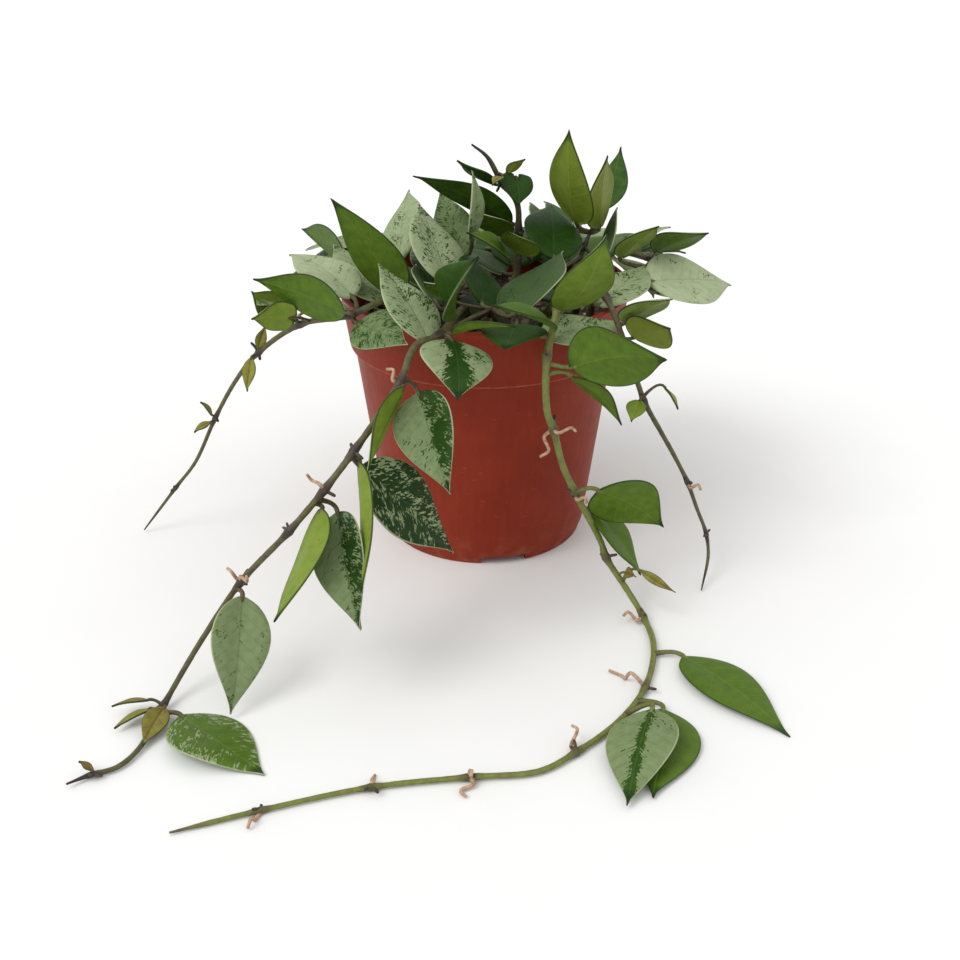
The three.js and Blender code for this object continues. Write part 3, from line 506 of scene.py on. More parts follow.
# Leaves by stem. Each: name, base of the blade, (heading, rise and roll in degrees), (length, width),
# (fold of each half in degrees, bow of the midrib), and look. A small or hidden leaf has no name.
LEAVES = {
    "vine_far_left": [
        ("leaf_olive_tall", (-33, -31, 114), (-157, 59, -37), (50, 25), (8, 0.5), "olive"),
        ("leaf_silver_back_left", (-35, -34, 112), (129, 19, -8), (44, 32), (8, 1), "silver"),
        ("leaf_silver_pale", (-50, -45, 119), (132, 10, 0), (42, 24), (8, 3), "pale"),
        ("leaf_olive_low", (-51, -57, 117), (158, 12, -72), (40, 21), (8, 0.5), "olive"),
        ("leaf_over_rim_left", (-48, -54, 112), (-50, 1, -32), (32, 20), (8, 1), "flecked"),
        ("leaf_heart_left", (-75, -46, 111), (-151, 8, -67), (15, 15), (6, 1), "heart"),
        (None, (-79, -41, 111), (-150, 44, -110), (15, 13), (6, 1), "heart"),
        (None, (-81, -40, 115), (-114, 13, 14), (12, 9), (10, 0.5), "light"),
        (None, (-91, -25, 90), (50, 60, -60), (10, 5), (20, 0.5), "young"),
        (None, (-94, -25, 86), (-120, -70, 20), (14, 6), (20, 0.5), "young"),
        (None, (-115, -12, 55), (-160, 60, 20), (8, 4), (20, 0.5), "young"),
        (None, (-116, -13, 52), (-150, -20, 20), (8, 4), (20, 0.5), "young"),
    ],
    "vine_left": [
        ("leaf_silver_front", (-20, -68, 109), (124, 30, -14), (42, 24), (8, 2), "silver"),
        ("leaf_banded_front", (-12, -67, 110), (-85, -22, 14), (31, 28), (8, 2), "banded"),
        ("leaf_folded_front", (-11, -56, 115), (-66, 54, -81), (36, 24), (45, 2), "rimmed"),
        ("leaf_left_edge", (-29, -90, 101), (-116, -36, -83), (35, 15), (15, 1), "light"),
        ("leaf_left_folded", (-24, -85, 97), (-70, -37, -38), (42, 27), (30, 1), "two_tone"),
        ("leaf_left_marbled", (-44, -104, 76), (10, -49, -34), (51, 31), (8, 2), "marbled"),
        ("leaf_left_narrow", (-44, -106, 79), (-85, -36, 110), (50, 15), (20, 1), "light"),
        ("leaf_left_hanging", (-57, -115, 65), (-108, -28, 142), (47, 19), (15, 1), "light"),
        ("leaf_left_two_tone", (-52, -113, 63), (-75, -35, -40), (46, 25), (28, 1), "two_tone"),
        ("leaf_left_silver", (-86, -124, 35), (-94, -50, 30), (42, 23), (18, 1), "dull_silver"),
        ("leaf_left_ground", (-106, -151, 3), (-41, -3, 12), (45, 29), (4, 1), "edged"),
        (None, (-6, -32, 104), (80, 10, 0), (24, 16), (10, 2), "dark"),
        (None, (-112, -148, 4), (-100, -4, 20), (20, 9), (15, 0.5), "young"),
        (None, (-117, -149, 4), (-140, -6, -20), (14, 6), (15, 0.5), "young"),
        (None, (-118, -145, 5), (-165, 0, -20), (13, 5), (15, 0.5), "young"),
        (None, (-129, -181, 3), (150, 15, 0), (6, 3), (15, 0.3), "young"),
    ],
    "vine_right": [
        ("leaf_olive_round", (29, -60, 119), (-62, 54, 13), (45, 22), (8, -3), "light"),
        ("leaf_silver_low_right", (22, -61, 109), (28, 0, -9), (36, 25), (6, 0.5), "silver"),
        ("leaf_folded_right", (26, -66, 114), (-142, 28, 13), (34, 14), (30, 1), "green"),
        ("leaf_green_right", (32, -74, 102), (-43, 19, 61), (45, 30), (8, 3), "green"),
        ("leaf_green_right_low", (32, -70, 97), (5, -45, 33), (29, 15), (12, 2), "green"),
        ("leaf_right_heart", (43, -77, 53), (22, -36, 59), (37, 29), (6, 2), "green"),
        ("leaf_right_behind", (42, -63, 37), (-28, -46, 8), (33, 21), (12, 2), "green"),
        ("leaf_right_ground", (74, -114, 2.5), (-57, -1, 0), (56, 22), (4, 1.5), "green"),
        ("leaf_ground_silver", (58, -154, 8), (-106, -7, -12), (46, 25), (6, 2), "ribbed"),
        ("leaf_ground_green", (63, -146, 2), (-101, 0, 0), (48, 26), (2, 1), "green"),
        (None, (61, -80, 19), (-30, -20, -60), (16, 4), (15, 1), "young"),
        (None, (55, -78, 17), (-70, 20, -60), (10, 5), (15, 1), "young"),
    ],
    "vine_far_right": [
        ("leaf_green_rim_right", (54, -51, 111), (-56, 35, 13), (30, 19), (10, 1), "light"),
        ("leaf_yellow_round", (57, -52, 105), (-54, 28, 47), (22, 21), (6, 1), "yellow"),
        ("leaf_silver_right", (44, -36, 112), (49, 15, 2), (35, 25), (8, 1), "silver"),
        (None, (59, -63, 84), (-118, -35, 10), (10, 8), (12, 0.5), "yellow"),
        (None, (69, -58, 87), (-50, -40, 40), (10, 9), (12, 0.5), "yellow"),
    ],
    "shoot_upright": [
        ("leaf_dark_long", (11, 8, 132), (-154, 30, -33), (50, 20), (10, 2), "dark"),
        ("leaf_dark_curled", (4, 5, 149), (-148, 36, -17), (21, 11), (20, -1), "dark"),
        ("leaf_dark_heart", (13, 2, 152), (-85, -50, 16), (12, 14), (6, 1), "dark_heart"),
        (None, (9, 3, 154), (-20, 40, 30), (10, 7), (12, 0.5), "young"),
        (None, (17, -20, 127), (-121, 41, -1), (22, 17), (8, 1), "yellow"),
        (None, (7, -3, 154), (-120, -10, 0), (8, 5), (20, 0.5), "young"),
        (None, (8, 0, 129), (-130, 36, -11), (26, 18), (8, 1), "olive"),
        (None, (26, 12, 126), (106, 20, -33), (24, 14), (8, 1), "smoky"),
        (None, (13, 9, 113), (85, 16, 0), (32, 24), (10, 2), "dark"),
        (None, (8, 4, 112), (140, 10, -10), (30, 22), (10, 2), "smoky"),
        (None, (18, -8, 106), (-60, 10, 0), (26, 20), (10, 2), "dark"),
    ],
    "shoot_left": [
        ("leaf_silver_upright", (-34, -13, 123), (86, 32, 44), (38, 26), (8, 1), "silver"),
        ("leaf_silver_speckled", (-14, -37, 121), (110, 33, -24), (42, 26), (8, 2), "silver"),
        ("leaf_silver_middle", (-8, -9, 122), (112, 36, 22), (36, 18), (8, 1), "flecked"),
        ("leaf_silver_narrow", (-5, -21, 133), (-85, 71, 127), (32, 11), (15, 1), "silver"),
        (None, (-15, -30, 118), (114, 20, -60), (47, 15), (10, 1), "dark"),
        (None, (-19, -44, 117), (107, 14, -35), (28, 18), (8, 1), "smoky"),
        (None, (-23, -35, 119), (113, 4, -19), (26, 18), (8, 1), "smoky"),
        (None, (-14, -4, 110), (120, 18, 0), (34, 24), (10, 2), "marbled"),
        (None, (-20, -11, 107), (165, 12, 0), (34, 24), (10, 2), "dark"),
        ("leaf_olive_behind", (-56, 4, 119), (130, 8, -66), (34, 22), (8, 1), "olive"),
    ],
    "shoot_front": [
        ("leaf_dark_silver", (11, -53, 115), (60, 19, 22), (42, 31), (10, 1), "smoky"),
        (None, (10, -23, 126), (-142, 37, 28), (26, 14), (25, 1), "green"),
        (None, (-12, -66, 112), (-35, 18, 28), (30, 10), (25, 1), "green"),
        (None, (12, -56, 112), (-100, 2, 0), (28, 26), (8, 1), "dark"),
        (None, (-15, -48, 120), (-132, 38, -12), (14, 12), (8, 1), "olive"),
        ("leaf_dark_front", (-1, -45, 116), (98, 20, -45), (32, 28), (12, 1), "dark"),
    ],
    "shoot_back_right": [
        ("leaf_green_tallest", (38, 13, 131), (-102, 62, 35), (50, 25), (8, -3), "light"),
        ("leaf_green_second", (48, 18, 127), (-89, 65, -50), (38, 20), (10, 1), "yellow"),
        (None, (49, 24, 132), (70, 35, -171), (36, 15), (10, 1), "dark"),
        (None, (34, 18, 128), (113, 15, -19), (22, 12), (8, 1), "smoky"),
        (None, (50, 0, 121), (77, 29, 55), (28, 12), (10, 1), "smoky"),
        (None, (31, 15, 111), (100, 14, 0), (32, 24), (10, 2), "flecked"),
        (None, (38, 12, 112), (45, 12, 0), (34, 24), (10, 2), "green"),
        ("leaf_dark_crown", (28, -8, 122), (90, 22, -18), (36, 26), (10, 2), "dark"),
    ],
    "shoot_right": [
        ("leaf_silver_far_right", (65, -24, 118), (35, -12, -29), (48, 30), (8, 1), "pale"),
        ("leaf_green_edge_right", (55, -6, 122), (-59, 40, 6), (30, 16), (12, 1), "light"),
        ("leaf_green_far_right", (70, 2, 122), (-55, 27, 24), (34, 18), (12, 1), "olive"),
        (None, (59, 4, 124), (50, 2, 13), (32, 12), (12, 1), "silver"),
        (None, (66, -16, 112), (35, -9, -9), (36, 24), (8, 1), "pale"),
        (None, (64, 6, 121), (50, -3, 11), (28, 10), (10, 1), "dark"),
    ],
    "leafy_shoot_back_left": [
        (None, (-42, 40, 112), (155, -8, 0), (44, 26), (10, 3), "silver"),
        (None, (-36, 48, 112), (95, -16, 0), (44, 26), (10, 3), "silver"),
        (None, (-30, 36, 112), (60, 4, 10), (32, 22), (10, 2), "flecked"),
        (None, (-44, 58, 106), (70, -38, 0), (40, 24), (10, 3), "green"),
        (None, (-50, 66, 102), (130, -35, 0), (46, 26), (10, 3), "flecked"),
        (None, (-52, 52, 108), (178, -22, 0), (42, 24), (10, 3), "marbled"),
        (None, (-46, 14, 109), (170, -6, 0), (36, 24), (10, 3), "silver"),
        (None, (-44, 28, 112), (160, -14, 0), (38, 24), (10, 3), "green"),
        (None, (-51, 2, 111), (-170, -16, 0), (32, 22), (10, 3), "flecked"),
    ],
    "leafy_shoot_back": [
        (None, (-3, 50, 112), (113, -14, 0), (42, 26), (10, 3), "flecked"),
        (None, (12, 52, 113), (70, -14, 0), (42, 26), (10, 3), "silver"),
        (None, (2, 38, 112), (150, -2, 10), (30, 20), (10, 2), "dark"),
        (None, (7, 39, 110), (25, 10, -10), (32, 22), (10, 2), "smoky"),
        (None, (4, 76, 99), (90, -55, 0), (48, 28), (10, 3), "silver"),
        (None, (-3, 68, 106), (140, -32, 0), (44, 25), (10, 3), "marbled"),
        (None, (12, 68, 106), (40, -28, 0), (44, 25), (10, 3), "green"),
    ],
    "leafy_shoot_back_right": [
        (None, (48, 40, 112), (8, -6, 0), (42, 26), (10, 3), "green"),
        (None, (45, 52, 112), (84, -14, 0), (44, 26), (10, 3), "silver"),
        (None, (38, 40, 118), (119, 6, 0), (32, 22), (10, 2), "marbled"),
        (None, (59, 64, 100), (50, -38, 0), (46, 26), (10, 3), "silver"),
        (None, (58, 50, 108), (-2, -22, 0), (42, 24), (10, 3), "marbled"),
    ],
}

STEM_SIDES = 12
STEM_STEP = 1.5
JOINT_SWELLING = 0.5
JOINT_REACH = 1.9
RING_SWELLING = 0.12  # of the fine ring beside each joint
RING_PLACE = 3.2
RING_REACH = 0.7
YOUNG_TIP = 12  # the length over which a tip thins and darkens
TIP_THINNING = 0.55
ROOTED_LENGTH = 30  # a stem comes near the table only beyond it
PETIOLE_RADIUS = 0.8
PETIOLE_SAG = 0.45
PETIOLE_SIDES = 9
PETIOLE_SHAPE = (1.45, 1.25, 1.1, 1.05, 1.05, 1.1, 1.1, 0.7)
ROOT_RADIUS = 0.65
ROOT_CURL = 0.22  # of its length
ROOT_STEP = 0.8
SPUR_LENGTHS = (0.6, 1, 1.6, 2.6, 3.6)  # of the stubs where leaves have fallen
SPUR_SHAPE = (1.3, 1.15, 1, 0.95, 0.95, 0.7)
SPUR_BARK = [0.7, 0.72, 0.75, 0.8, 0.9, 1]
THIN_SIDES = 8


def smooth_route(points, step):
    """Points at an even step on the centripetal curve through the given ones, and the places of those."""
    route = [Vector(p) for p in points]
    ends = [2 * route[0] - route[1]] + route + [2 * route[-1] - route[-2]]
    path, places = [route[0]], [0]
    for a, b, c, d in zip(ends, ends[1:], ends[2:], ends[3:]):
        ab, bc, cd = (max((q - p).length, 1e-4) ** 0.5 for p, q in ((a, b), (b, c), (c, d)))
        leave = ((b - a) / ab - (c - a) / (ab + bc) + (c - b) / bc) * bc
        arrive = ((c - b) / bc - (d - b) / (bc + cd) + (d - c) / cd) * bc
        steps = max(2, round((c - b).length / step))
        for i in range(1, steps + 1):
            t = i / steps
            path.append(b * (2 * t ** 3 - 3 * t ** 2 + 1) + leave * (t ** 3 - 2 * t ** 2 + t)
                        + c * (3 * t ** 2 - 2 * t ** 3) + arrive * (t ** 3 - t ** 2))
        places.append(len(path) - 1)
    return path, places


def tube(bm, path, radii, sides, bark, material=0):
    """A sheet rolled round a path and closed at both ends. bark shades it from green to brown."""
    rows = len(path) + 2
    before = set(bm.faces)
    sheet = bmesh.ops.create_grid(bm, x_segments=sides, y_segments=rows - 1, size=0.5)["verts"]
    place, shade = bm.verts.layers.float_vector["place"], bm.verts.layers.float["bark"]
    tangents = [(path[min(i + 1, len(path) - 1)] - path[max(i - 1, 0)]).normalized()
                for i in range(len(path))]
    side = tangents[0].orthogonal().normalized()
    frames, along = [], [0]
    for i, tangent in enumerate(tangents):
        side = (side - tangent * side.dot(tangent)).normalized()
        frames.append((side, tangent.cross(side)))
        if i:
            along.append(along[-1] + (path[i] - path[i - 1]).length)
    for vert in sheet:
        row = round((vert.co.y + 0.5) * (rows - 1))
        angle = 2 * math.pi * (vert.co.x + 0.5)
        ring = min(max(row - 1, 0), len(path) - 1)
        radius = radii[ring] if 0 < row < rows - 1 else 0
        swell = radii[ring] * 0.5 * ((row == rows - 1) - (row == 0))
        across, up = frames[ring]
        round_it = across * math.cos(angle) + up * math.sin(angle)
        vert.co = (path[ring] + round_it * radius + tangents[ring] * swell) * MM
        vert[place] = (radius * math.cos(angle), radius * math.sin(angle), along[ring])
        vert[shade] = bark[ring] if isinstance(bark, list) else bark
    bmesh.ops.remove_doubles(bm, verts=sheet, dist=1e-7)
    for face in set(bm.faces) - before:
        face.material_index = material


def bent(start, bend, end, steps):
    """Points on a quadratic curve."""
    return [start.lerp(bend, i / steps).lerp(bend.lerp(end, i / steps), i / steps)
            for i in range(steps + 1)]


def leaf_directions(heading, rise, roll):
    """The blade's own directions: along its midrib, to its right, and out of its upper face."""
    h, r, t = (math.radians(angle) for angle in (heading, rise, roll))
    along = Vector((math.cos(r) * math.cos(h), math.cos(r) * math.sin(h), math.sin(r)))
    level = Vector((-math.sin(r) * math.cos(h), -math.sin(r) * math.sin(h), math.cos(r)))
    up = level * math.cos(t) + level.cross(along) * math.sin(t)
    return along, along.cross(up), up


def vine_colour(f):
    """Olive green skin with brown, slightly corky joints and darker specks."""
    place = f.attribute("place", "Vector")
    bark = f.attribute("bark") + (f.cloud(place, 0.5, 3) - 0.5) * 0.7
    skin = bark.ramp([(0, (0.170, 0.205, 0.030)), (0.4, (0.105, 0.105, 0.024)),
                      (0.7, (0.058, 0.042, 0.017)), (1, (0.024, 0.013, 0.010))])
    specks = f.cloud(f.millimetres(), 1.4, 3).between(0.6, 0.72)
    return f.blend(specks * 0.5, skin, (0.030, 0.020, 0.010))


def vine_height(f):
    x, y, z = f.attribute("place", "Vector").parts()
    return f.cloud(f.vector(x * 3, y * 3, z * 0.3), 1, 2) * 0.25 + f.cloud(f.millimetres(), 2, 3) * 0.1


vine_skin = finished(
    "vine_skin",
    vine_colour,
    lambda f: f.cloud(f.millimetres(), 0.7, 3) * 0.25 + 0.38,
    vine_height,
)
root_skin = finished(
    "root_skin",
    lambda f: f.cloud(f.millimetres(), 0.6, 3).ramp([(0.3, (0.26, 0.13, 0.075)),
                                                     (0.7, (0.55, 0.38, 0.25))]),
    lambda f: f.cloud(f.millimetres(), 0.7) * 0.2 + 0.5,
    lambda f: f.cloud(f.millimetres(), 1.5, 3) * 0.15,
)

for name, ((root_radius, tip_radius), route, joints, roots, greenness) in STEMS.items():
    dice = random.Random(name)
    bm = bmesh.new()
    bm.verts.layers.float_vector.new("place")
    bm.verts.layers.float.new("bark")
    path, places = smooth_route(route, STEM_STEP)
    reach = [0]
    for start, end in zip(path, path[1:]):
        reach.append(reach[-1] + (end - start).length)
    radii, bark = [], []
    for i, point in enumerate(path):
        radius = root_radius + (tip_radius - root_radius) * reach[i] / reach[-1]
        near = min((abs(reach[i] - reach[places[j]]) for j in joints), default=99)
        tip = max(0, 1 - (reach[-1] - reach[i]) / YOUNG_TIP)
        swelling = (JOINT_SWELLING * math.exp(-(near / JOINT_REACH) ** 2)
                    + RING_SWELLING * math.exp(-((near - RING_PLACE) / RING_REACH) ** 2))
        radius = radius * (1 + swelling) * (1 - TIP_THINNING * tip) * dice.uniform(0.96, 1.04)
        radii.append(min(radius, max(point.z, 0.5)) if reach[i] > ROOTED_LENGTH else radius)
        bark.append(0.75 - 0.6 * greenness + 0.4 * math.exp(-(near / 3) ** 2) + 0.5 * tip)
    tube(bm, path, radii, STEM_SIDES, bark)
    for j in joints:
        centre = path[places[j]]
        for length in dice.sample(SPUR_LENGTHS, 2):
            away = Vector([dice.uniform(-1, 1) for axis in range(3)]).normalized()
            if centre.z < 12:
                away.z = abs(away.z) * 0.6
            end = centre + away * (length + radii[places[j]])
            bend = centre.lerp(end, 0.5) + Vector((0, 0, dice.uniform(-0.3, 0.8)))
            spur = bent(centre, bend, end, 5)
            thick = dice.uniform(0.5, 0.7)
            tube(bm, spur, [thick * share for share in SPUR_SHAPE], THIN_SIDES, SPUR_BARK)
    for j, end in roots:
        start, end = path[places[j]], Vector(end)
        away, toss = end - start, Vector([dice.uniform(-1, 1) for axis in range(3)])
        side = away.cross(toss).normalized() * away.length * ROOT_CURL
        curly = [start, start + away * 0.35 + side, start + away * 0.7 - side, end]
        line = [Vector((spot.x, spot.y, max(spot.z, ROOT_RADIUS)))
                for spot in smooth_route(curly, ROOT_STEP)[0]]
        thinning = [ROOT_RADIUS * (1.2 - 0.4 * i / len(line)) for i in range(len(line))]
        tube(bm, line, thinning, THIN_SIDES, 0.5, 1)
    for _, base, angles, size, _, _ in LEAVES[name]:
        along = leaf_directions(*angles)[0]
        base = Vector(base)
        start = min(path, key=lambda spot: (spot - base).length)
        bend = base - along * PETIOLE_SAG * (base - start).length
        stalk = bent(start, bend, base, 6)
        stalk.append(base + along * min(2.5, size[0] * 0.06))
        thick = PETIOLE_RADIUS * min(1, 0.45 + size[0] / 60)
        shade = 0.8 - 0.5 * greenness
        tube(bm, stalk, [thick * share for share in PETIOLE_SHAPE], PETIOLE_SIDES,
             [shade + 0.25, shade + 0.1, shade, shade, shade, shade, shade, shade - 0.1])
    bmesh.ops.recalc_face_normals(bm, faces=bm.faces[:])
    stem = new_object(name + "_stem", bm, [vine_skin, root_skin])
    ride_and_replace(stem, "stem", name)


# Leaves: thick waxy blades, ovate with a drawn-out dark tip that curls down, on short petioles. The upper
# face is green with silver patches between the veins, from a few flecks to almost all of it, and the
# underside olive.
BLADE_ACROSS = 12
BLADE_ALONG = 22
BLADE_THICKNESS = 0.75
WIDEST = 0.7  # below 1 moves the widest point towards the base
HEART_WIDEST = 0.5
FULLNESS = 0.8  # below 1 rounds the outline near the base
TAPER = 0.45  # a larger one draws the tip out
HEART_FULLNESS = 0.35
HEART_TAPER = 0.9
HEART_LOBE = 0.25  # how far the lobes reach back beside the petiole, as a share of the length
BASE_HALF_WIDTH = 0.9
TIP_HALF_WIDTH = 0.1
EDGE_ROLL = 0.05  # of the width
EDGE_WAVE = 0.014
OVER_TABLE = 0.15
VEIN_SLANT = 0.8
LEAF_SHEEN = 0.16

# Each look: slot, upper tone, underside tone, silver on the left and on the right half, frost, and the half
# width of the dark band along the midrib.
LOOKS = {
    "silver": ("leaf_silver", 0.20, 0.55, 0.78, 0.80, 0.72, 0),
    "pale": ("leaf_silver", 0.22, 0.55, 0.92, 0.92, 0.90, 0),
    "dull_silver": ("leaf_silver", 0.30, 0.55, 0.93, 0.88, 0.50, 0),
    "ribbed": ("leaf_silver", 0.22, 0.60, 0.92, 0.94, 0.50, 1.7),
    "banded": ("leaf_dark", 0.15, 0.55, 0.84, 0.88, 0.66, 3.6),
    "flecked": ("leaf_green", 0.20, 0.55, 0.70, 0.74, 0.35, 0),
    # Painted shade: silver-splashed leaves deep in the crown, with their green and their silver patches
    # both painted dark grey-green for the shade they lie in.
    "smoky": ("leaf_dark", 0.12, 0.40, 0.90, 0.92, -0.05, 0),
    "marbled": ("leaf_dark", 0.10, 0.50, 0.45, 0.43, 0.70, 0),
    "two_tone": ("leaf_dark", 0.08, 0.50, 0.40, 0.94, 0.50, 0),
    "edged": ("leaf_dark", 0.38, 0.50, 0.40, 0.42, 0.75, 0),
    "green": ("leaf_green", 0.42, 0.50, 0.0, 0.0, 0.5, 0),
    "olive": ("leaf_green", 0.35, 0.42, 0.75, 0.75, 0.7, 0),
    "light": ("leaf_green", 0.45, 0.66, 0.70, 0.70, 0.6, 0),
    "yellow": ("leaf_green", 0.68, 0.74, 0.0, 0.0, 0.5, 0),
    # Painted shade, in part: dark green uppers as the real leaves have, but undersides painted far darker
    # than the olive of lit ones, for leaves that lie in the crown's shade and for small ones set into its
    # shadowed gaps.
    "dark": ("leaf_dark", 0.16, 0.25, 0.0, 0.0, 0.5, 0),
    "rimmed": ("leaf_dark", 0.28, 0.40, 0.05, 0.05, 0.5, 0),
    # Painted shade, in part, as for the dark look: the underside is painted dark for a leaf in the crown's
    # shade.
    "dark_heart": ("leaf_dark", 0.12, 0.22, 0.0, 0.0, 0.5, 0),
    "heart": ("leaf_green", 0.50, 0.66, 0.6, 0.6, 0.6, 0),
    "young": ("leaf_green", 0.92, 0.90, 0.0, 0.0, 0.4, 0),
}


def leaf_blade(bm, base, angles, size, shape, look, dice):
    along, right, up = leaf_directions(*angles)
    length, width = size
    fold, bow = math.radians(shape[0]), shape[1]
    tone, under, silver_left, silver_right, frost, band = LOOKS[look][1:]
    heart = "heart" in look
    tone += dice.uniform(-0.05, 0.05)
    under += dice.uniform(-0.07, 0.07)
    frost += dice.uniform(-0.08, 0.08)
    seed = dice.uniform(0, 900)
    curl = length * dice.uniform(0.0, 0.03)
    sway = length * dice.uniform(-0.03, 0.03)
    ripple = dice.uniform(0, 6.3)
    place, tint = bm.verts.layers.float_vector["place"], bm.verts.layers.float_vector["tint"]
    edge, frosting = bm.verts.layers.float["edge"], bm.verts.layers.float["frost"]
    sheet = bmesh.ops.create_grid(bm, x_segments=BLADE_ACROSS, y_segments=BLADE_ALONG, size=0.5)["verts"]
    for vert in sheet:
        across, u = vert.co.x * 2, min(max(vert.co.y + 0.5, 0), 1)
        across = math.copysign(abs(across) ** 0.85, across)
        swell = max(math.sin(math.pi * u ** (HEART_WIDEST if heart else WIDEST)), 0)
        power = HEART_FULLNESS + HEART_TAPER * u if heart else FULLNESS + TAPER * u
        outline = width / 2 * swell ** power
        half = max(outline, BASE_HALF_WIDTH + (TIP_HALF_WIDTH - BASE_HALF_WIDTH) * u)
        lobe = HEART_LOBE * length * across ** 2 * (1 - u) ** 6 if heart else 0
        tip = max(0, (u - 0.72) / 0.28) ** 2
        roll = EDGE_ROLL * width * across ** 4 * (1 - tip)
        phase = 9 * u + ripple + (2 if across > 0 else 0)
        wave = EDGE_WAVE * width * abs(across) ** 1.5 * math.sin(phase)
        lift = abs(across) * half * math.sin(fold) + bow * 4 * u * (1 - u) - roll + wave - curl * tip
        aside = (across * half * math.cos(fold) + sway * 4 * u * (1 - u)
                 + curl * 0.4 * tip * math.copysign(1, sway))
        vert.co = (base + along * (u * length - lobe) + right * aside + up * lift) * MM
        vert.co.z = max(vert.co.z, (BLADE_THICKNESS + OVER_TABLE) * MM)
        silver = silver_right if across > 0 else silver_left
        if abs(across) < 0.02:
            silver = (silver_left + silver_right) / 2
        if band:
            silver -= 0.85 * math.exp(-(across * half / (band * (0.8 + 0.6 * u))) ** 2)
        if look == "edged":
            silver += 0.3 * (abs(across) ** 2 - 0.45)
        shaded_tip = max(0, (u - 0.86) / 0.14)
        vert[place] = (across * half, u * length, seed)
        vert[tint] = (tone - 0.5 * shaded_tip, under - 0.6 * shaded_tip, silver * (1 - 0.6 * shaded_tip))
        vert[edge] = half * (1 - abs(across))
        vert[frosting] = frost


def blade_flecks(f):
    """Each patch between the veins is silver or green. The patches are long along the side veins."""
    x, y, seed = f.attribute("place", "Vector").parts()
    side = f.maths("ABSOLUTE", x)
    half = f.maths("GREATER_THAN", x, 0) * 3.7 + seed
    wobble = (f.cloud(f.vector(x, y, seed), 0.9, 2) - 0.5) * 0.9
    patch = f.vector(side * 0.72 + wobble, (y - side * VEIN_SLANT) * 1.35 - wobble, half)
    cells = f.node("ShaderNodeTexVoronoi", {}, {"Vector": patch, "Scale": 0.85}, "Color").parts()[0]
    cluster = (f.cloud(f.vector(x, y, seed), 0.16, 3) - 0.5) * 2 + 0.5
    amount = f.attribute("tint", "Vector").parts()[2]
    silver = f.node("ShaderNodeMath", {"operation": "ADD", "use_clamp": True},
                    {0: (amount - (cells * 0.5 + cluster * 0.5)) * 16, 1: 0.5})
    fine = f.node("ShaderNodeTexVoronoi", {}, {"Vector": patch, "Scale": 1.7}, "Color").parts()[1]
    specks = (fine * 0.75 + cluster * 0.5 - amount * 0.75).between(0.34, 0.37)
    return silver * (1 - specks)


def side_veins(f):
    """1 on the midrib and on the slanting side veins, and 0 between them."""
    x, y, seed = f.attribute("place", "Vector").parts()
    side = f.maths("ABSOLUTE", x)
    wobble = (f.cloud(f.vector(x, y, seed), 0.35, 2) - 0.5) * 1.6
    wave = f.maths("SINE", (y - side * VEIN_SLANT + wobble) * 1.25)
    return f.maths("MAXIMUM", wave.between(0.93, 1) * 0.6, 1 - side.between(0.1, 0.5))


GREENS = [(0, (0.007, 0.026, 0.003)), (0.25, (0.024, 0.068, 0.006)), (0.5, (0.088, 0.158, 0.012)),
          (0.7, (0.165, 0.235, 0.026)), (0.85, (0.230, 0.250, 0.038)), (1, (0.150, 0.090, 0.028))]
SILVERS = [(0, (0.048, 0.088, 0.027)), (0.35, (0.112, 0.164, 0.060)), (0.7, (0.225, 0.282, 0.142)),
           (1, (0.375, 0.430, 0.262))]


def upper_colour(f):
    place = f.attribute("place", "Vector")
    tone, _, amount = f.attribute("tint", "Vector").parts()
    edge, frost = f.attribute("edge"), f.attribute("frost")
    veins = side_veins(f)
    green = (tone + (f.cloud(place, 0.25, 3) - 0.5) * 0.22 + veins * 0.08).ramp(GREENS)
    chalk = frost + (f.cloud(place, 0.4, 3) - 0.5) * 0.35 - veins * 0.10
    body = f.blend(blade_flecks(f), green, chalk.ramp(SILVERS))
    rim_line = 1 - edge.between(0.12, 0.45)
    margin = f.blend(amount.between(0.02, 0.1), (0.022, 0.040, 0.008), (0.400, 0.430, 0.270))
    return f.blend(rim_line * 0.75, body, margin)


def upper_roughness(f):
    return blade_flecks(f) * 0.14 + f.cloud(f.attribute("place", "Vector"), 0.5, 3) * 0.16 + 0.38


def upper_height(f):
    place = f.attribute("place", "Vector")
    return blade_flecks(f) * 0.05 - side_veins(f) * 0.12 + f.cloud(place, 1.5, 3) * 0.10


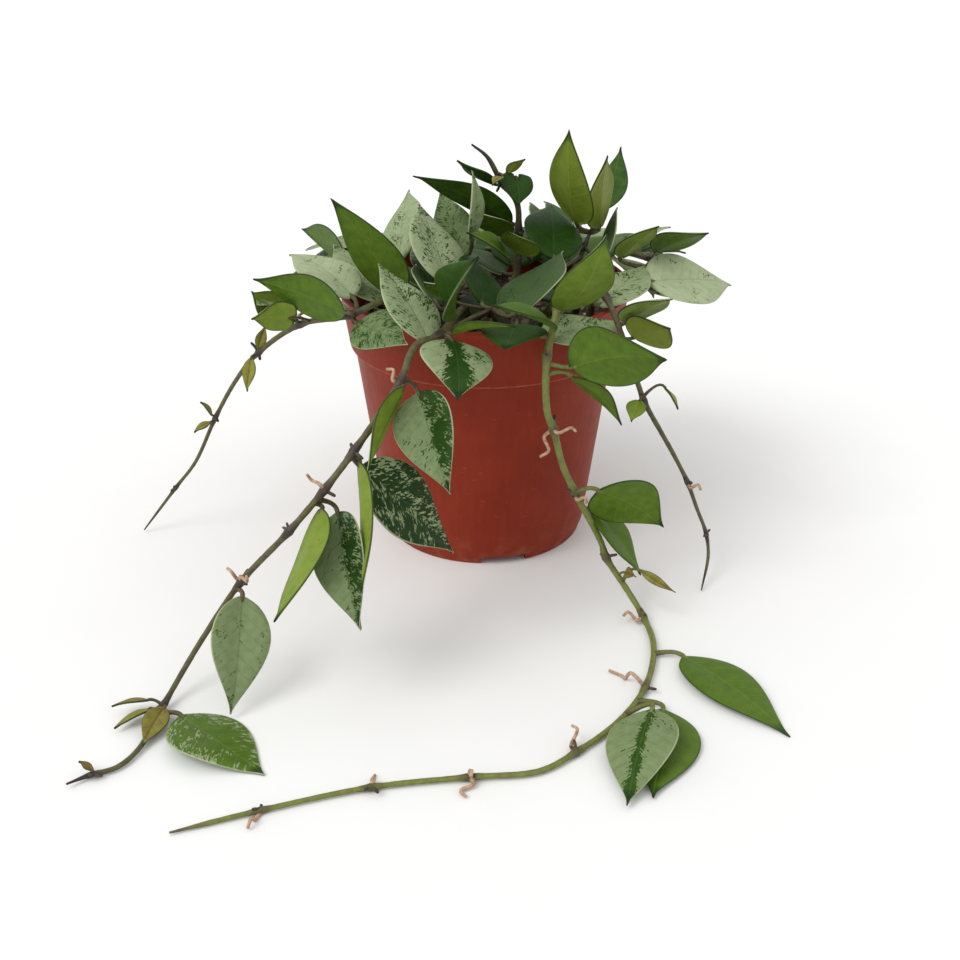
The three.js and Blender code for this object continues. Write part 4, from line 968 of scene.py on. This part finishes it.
def underside_colour(f):
    place = f.attribute("place", "Vector")
    under = f.attribute("tint", "Vector").parts()[1]
    mottle = (f.cloud(place, 0.3, 4) - 0.5) * 0.34
    skin = (under + mottle + side_veins(f) * 0.07).ramp(GREENS)
    x, y, seed = place.parts()
    side = f.maths("ABSOLUTE", x)
    slanted = f.vector(side * 0.5, (y - side * VEIN_SLANT) * 1.4, seed)
    dashes = f.cloud(slanted, 0.8, 2).between(0.68, 0.74)
    skin = f.blend(dashes * 0.55, skin, (0.030, 0.060, 0.010))
    return f.blend((1 - f.attribute("edge").between(0.12, 0.5)) * 0.85, skin, (0.024, 0.036, 0.010))


def underside_height(f):
    return side_veins(f) * 0.14 + f.cloud(f.attribute("place", "Vector"), 1.2, 3) * 0.12


leaf_upper = finished(
    "leaf_upper_face",
    upper_colour,
    upper_roughness,
    upper_height,
    Specular_IOR_Level=LEAF_SHEEN,
)
leaf_underside = finished(
    "leaf_underside",
    underside_colour,
    lambda f: f.cloud(f.attribute("place", "Vector"), 0.6, 3) * 0.16 + 0.42,
    underside_height,
    Specular_IOR_Level=LEAF_SHEEN,
)


def start_blades():
    bm = bmesh.new()
    for name in ("place", "tint"):
        bm.verts.layers.float_vector.new(name)
    for name in ("edge", "frost"):
        bm.verts.layers.float.new(name)
    return bm


def finish_blades(name, bm, slot, *nodes):
    """Blades get their thickness below the upper face, and one level of smoothing."""
    piece = new_object(name, bm, [leaf_upper, leaf_underside])
    thickness = piece.modifiers.new("thickness", "SOLIDIFY")
    thickness.thickness = BLADE_THICKNESS * MM
    thickness.offset = -1
    thickness.material_offset = 1
    thickness.material_offset_rim = 1 if slot == "leaf_green" else 0
    smoothing = piece.modifiers.new("smoothing", "SUBSURF")
    smoothing.levels = smoothing.render_levels = 1
    ride_and_replace(piece, slot, *nodes)


for stem_name, leaves in LEAVES.items():
    small = {}
    for name, base, angles, size, shape, look in leaves:
        if name is None:
            small.setdefault(LOOKS[look][0], []).append((base, angles, size, shape, look))
            continue
        bm = start_blades()
        leaf_blade(bm, Vector(base), angles, size, shape, look, random.Random(name))
        finish_blades(name.replace("leaf_", "blade_"), bm, LOOKS[look][0], name)
    for slot, group in small.items():
        bm = start_blades()
        for i, (base, *rest) in enumerate(group):
            leaf_blade(bm, Vector(base), *rest, random.Random(f"{stem_name} {slot} {i}"))
        finish_blades(f"{stem_name}_{slot}_blades", bm, slot)
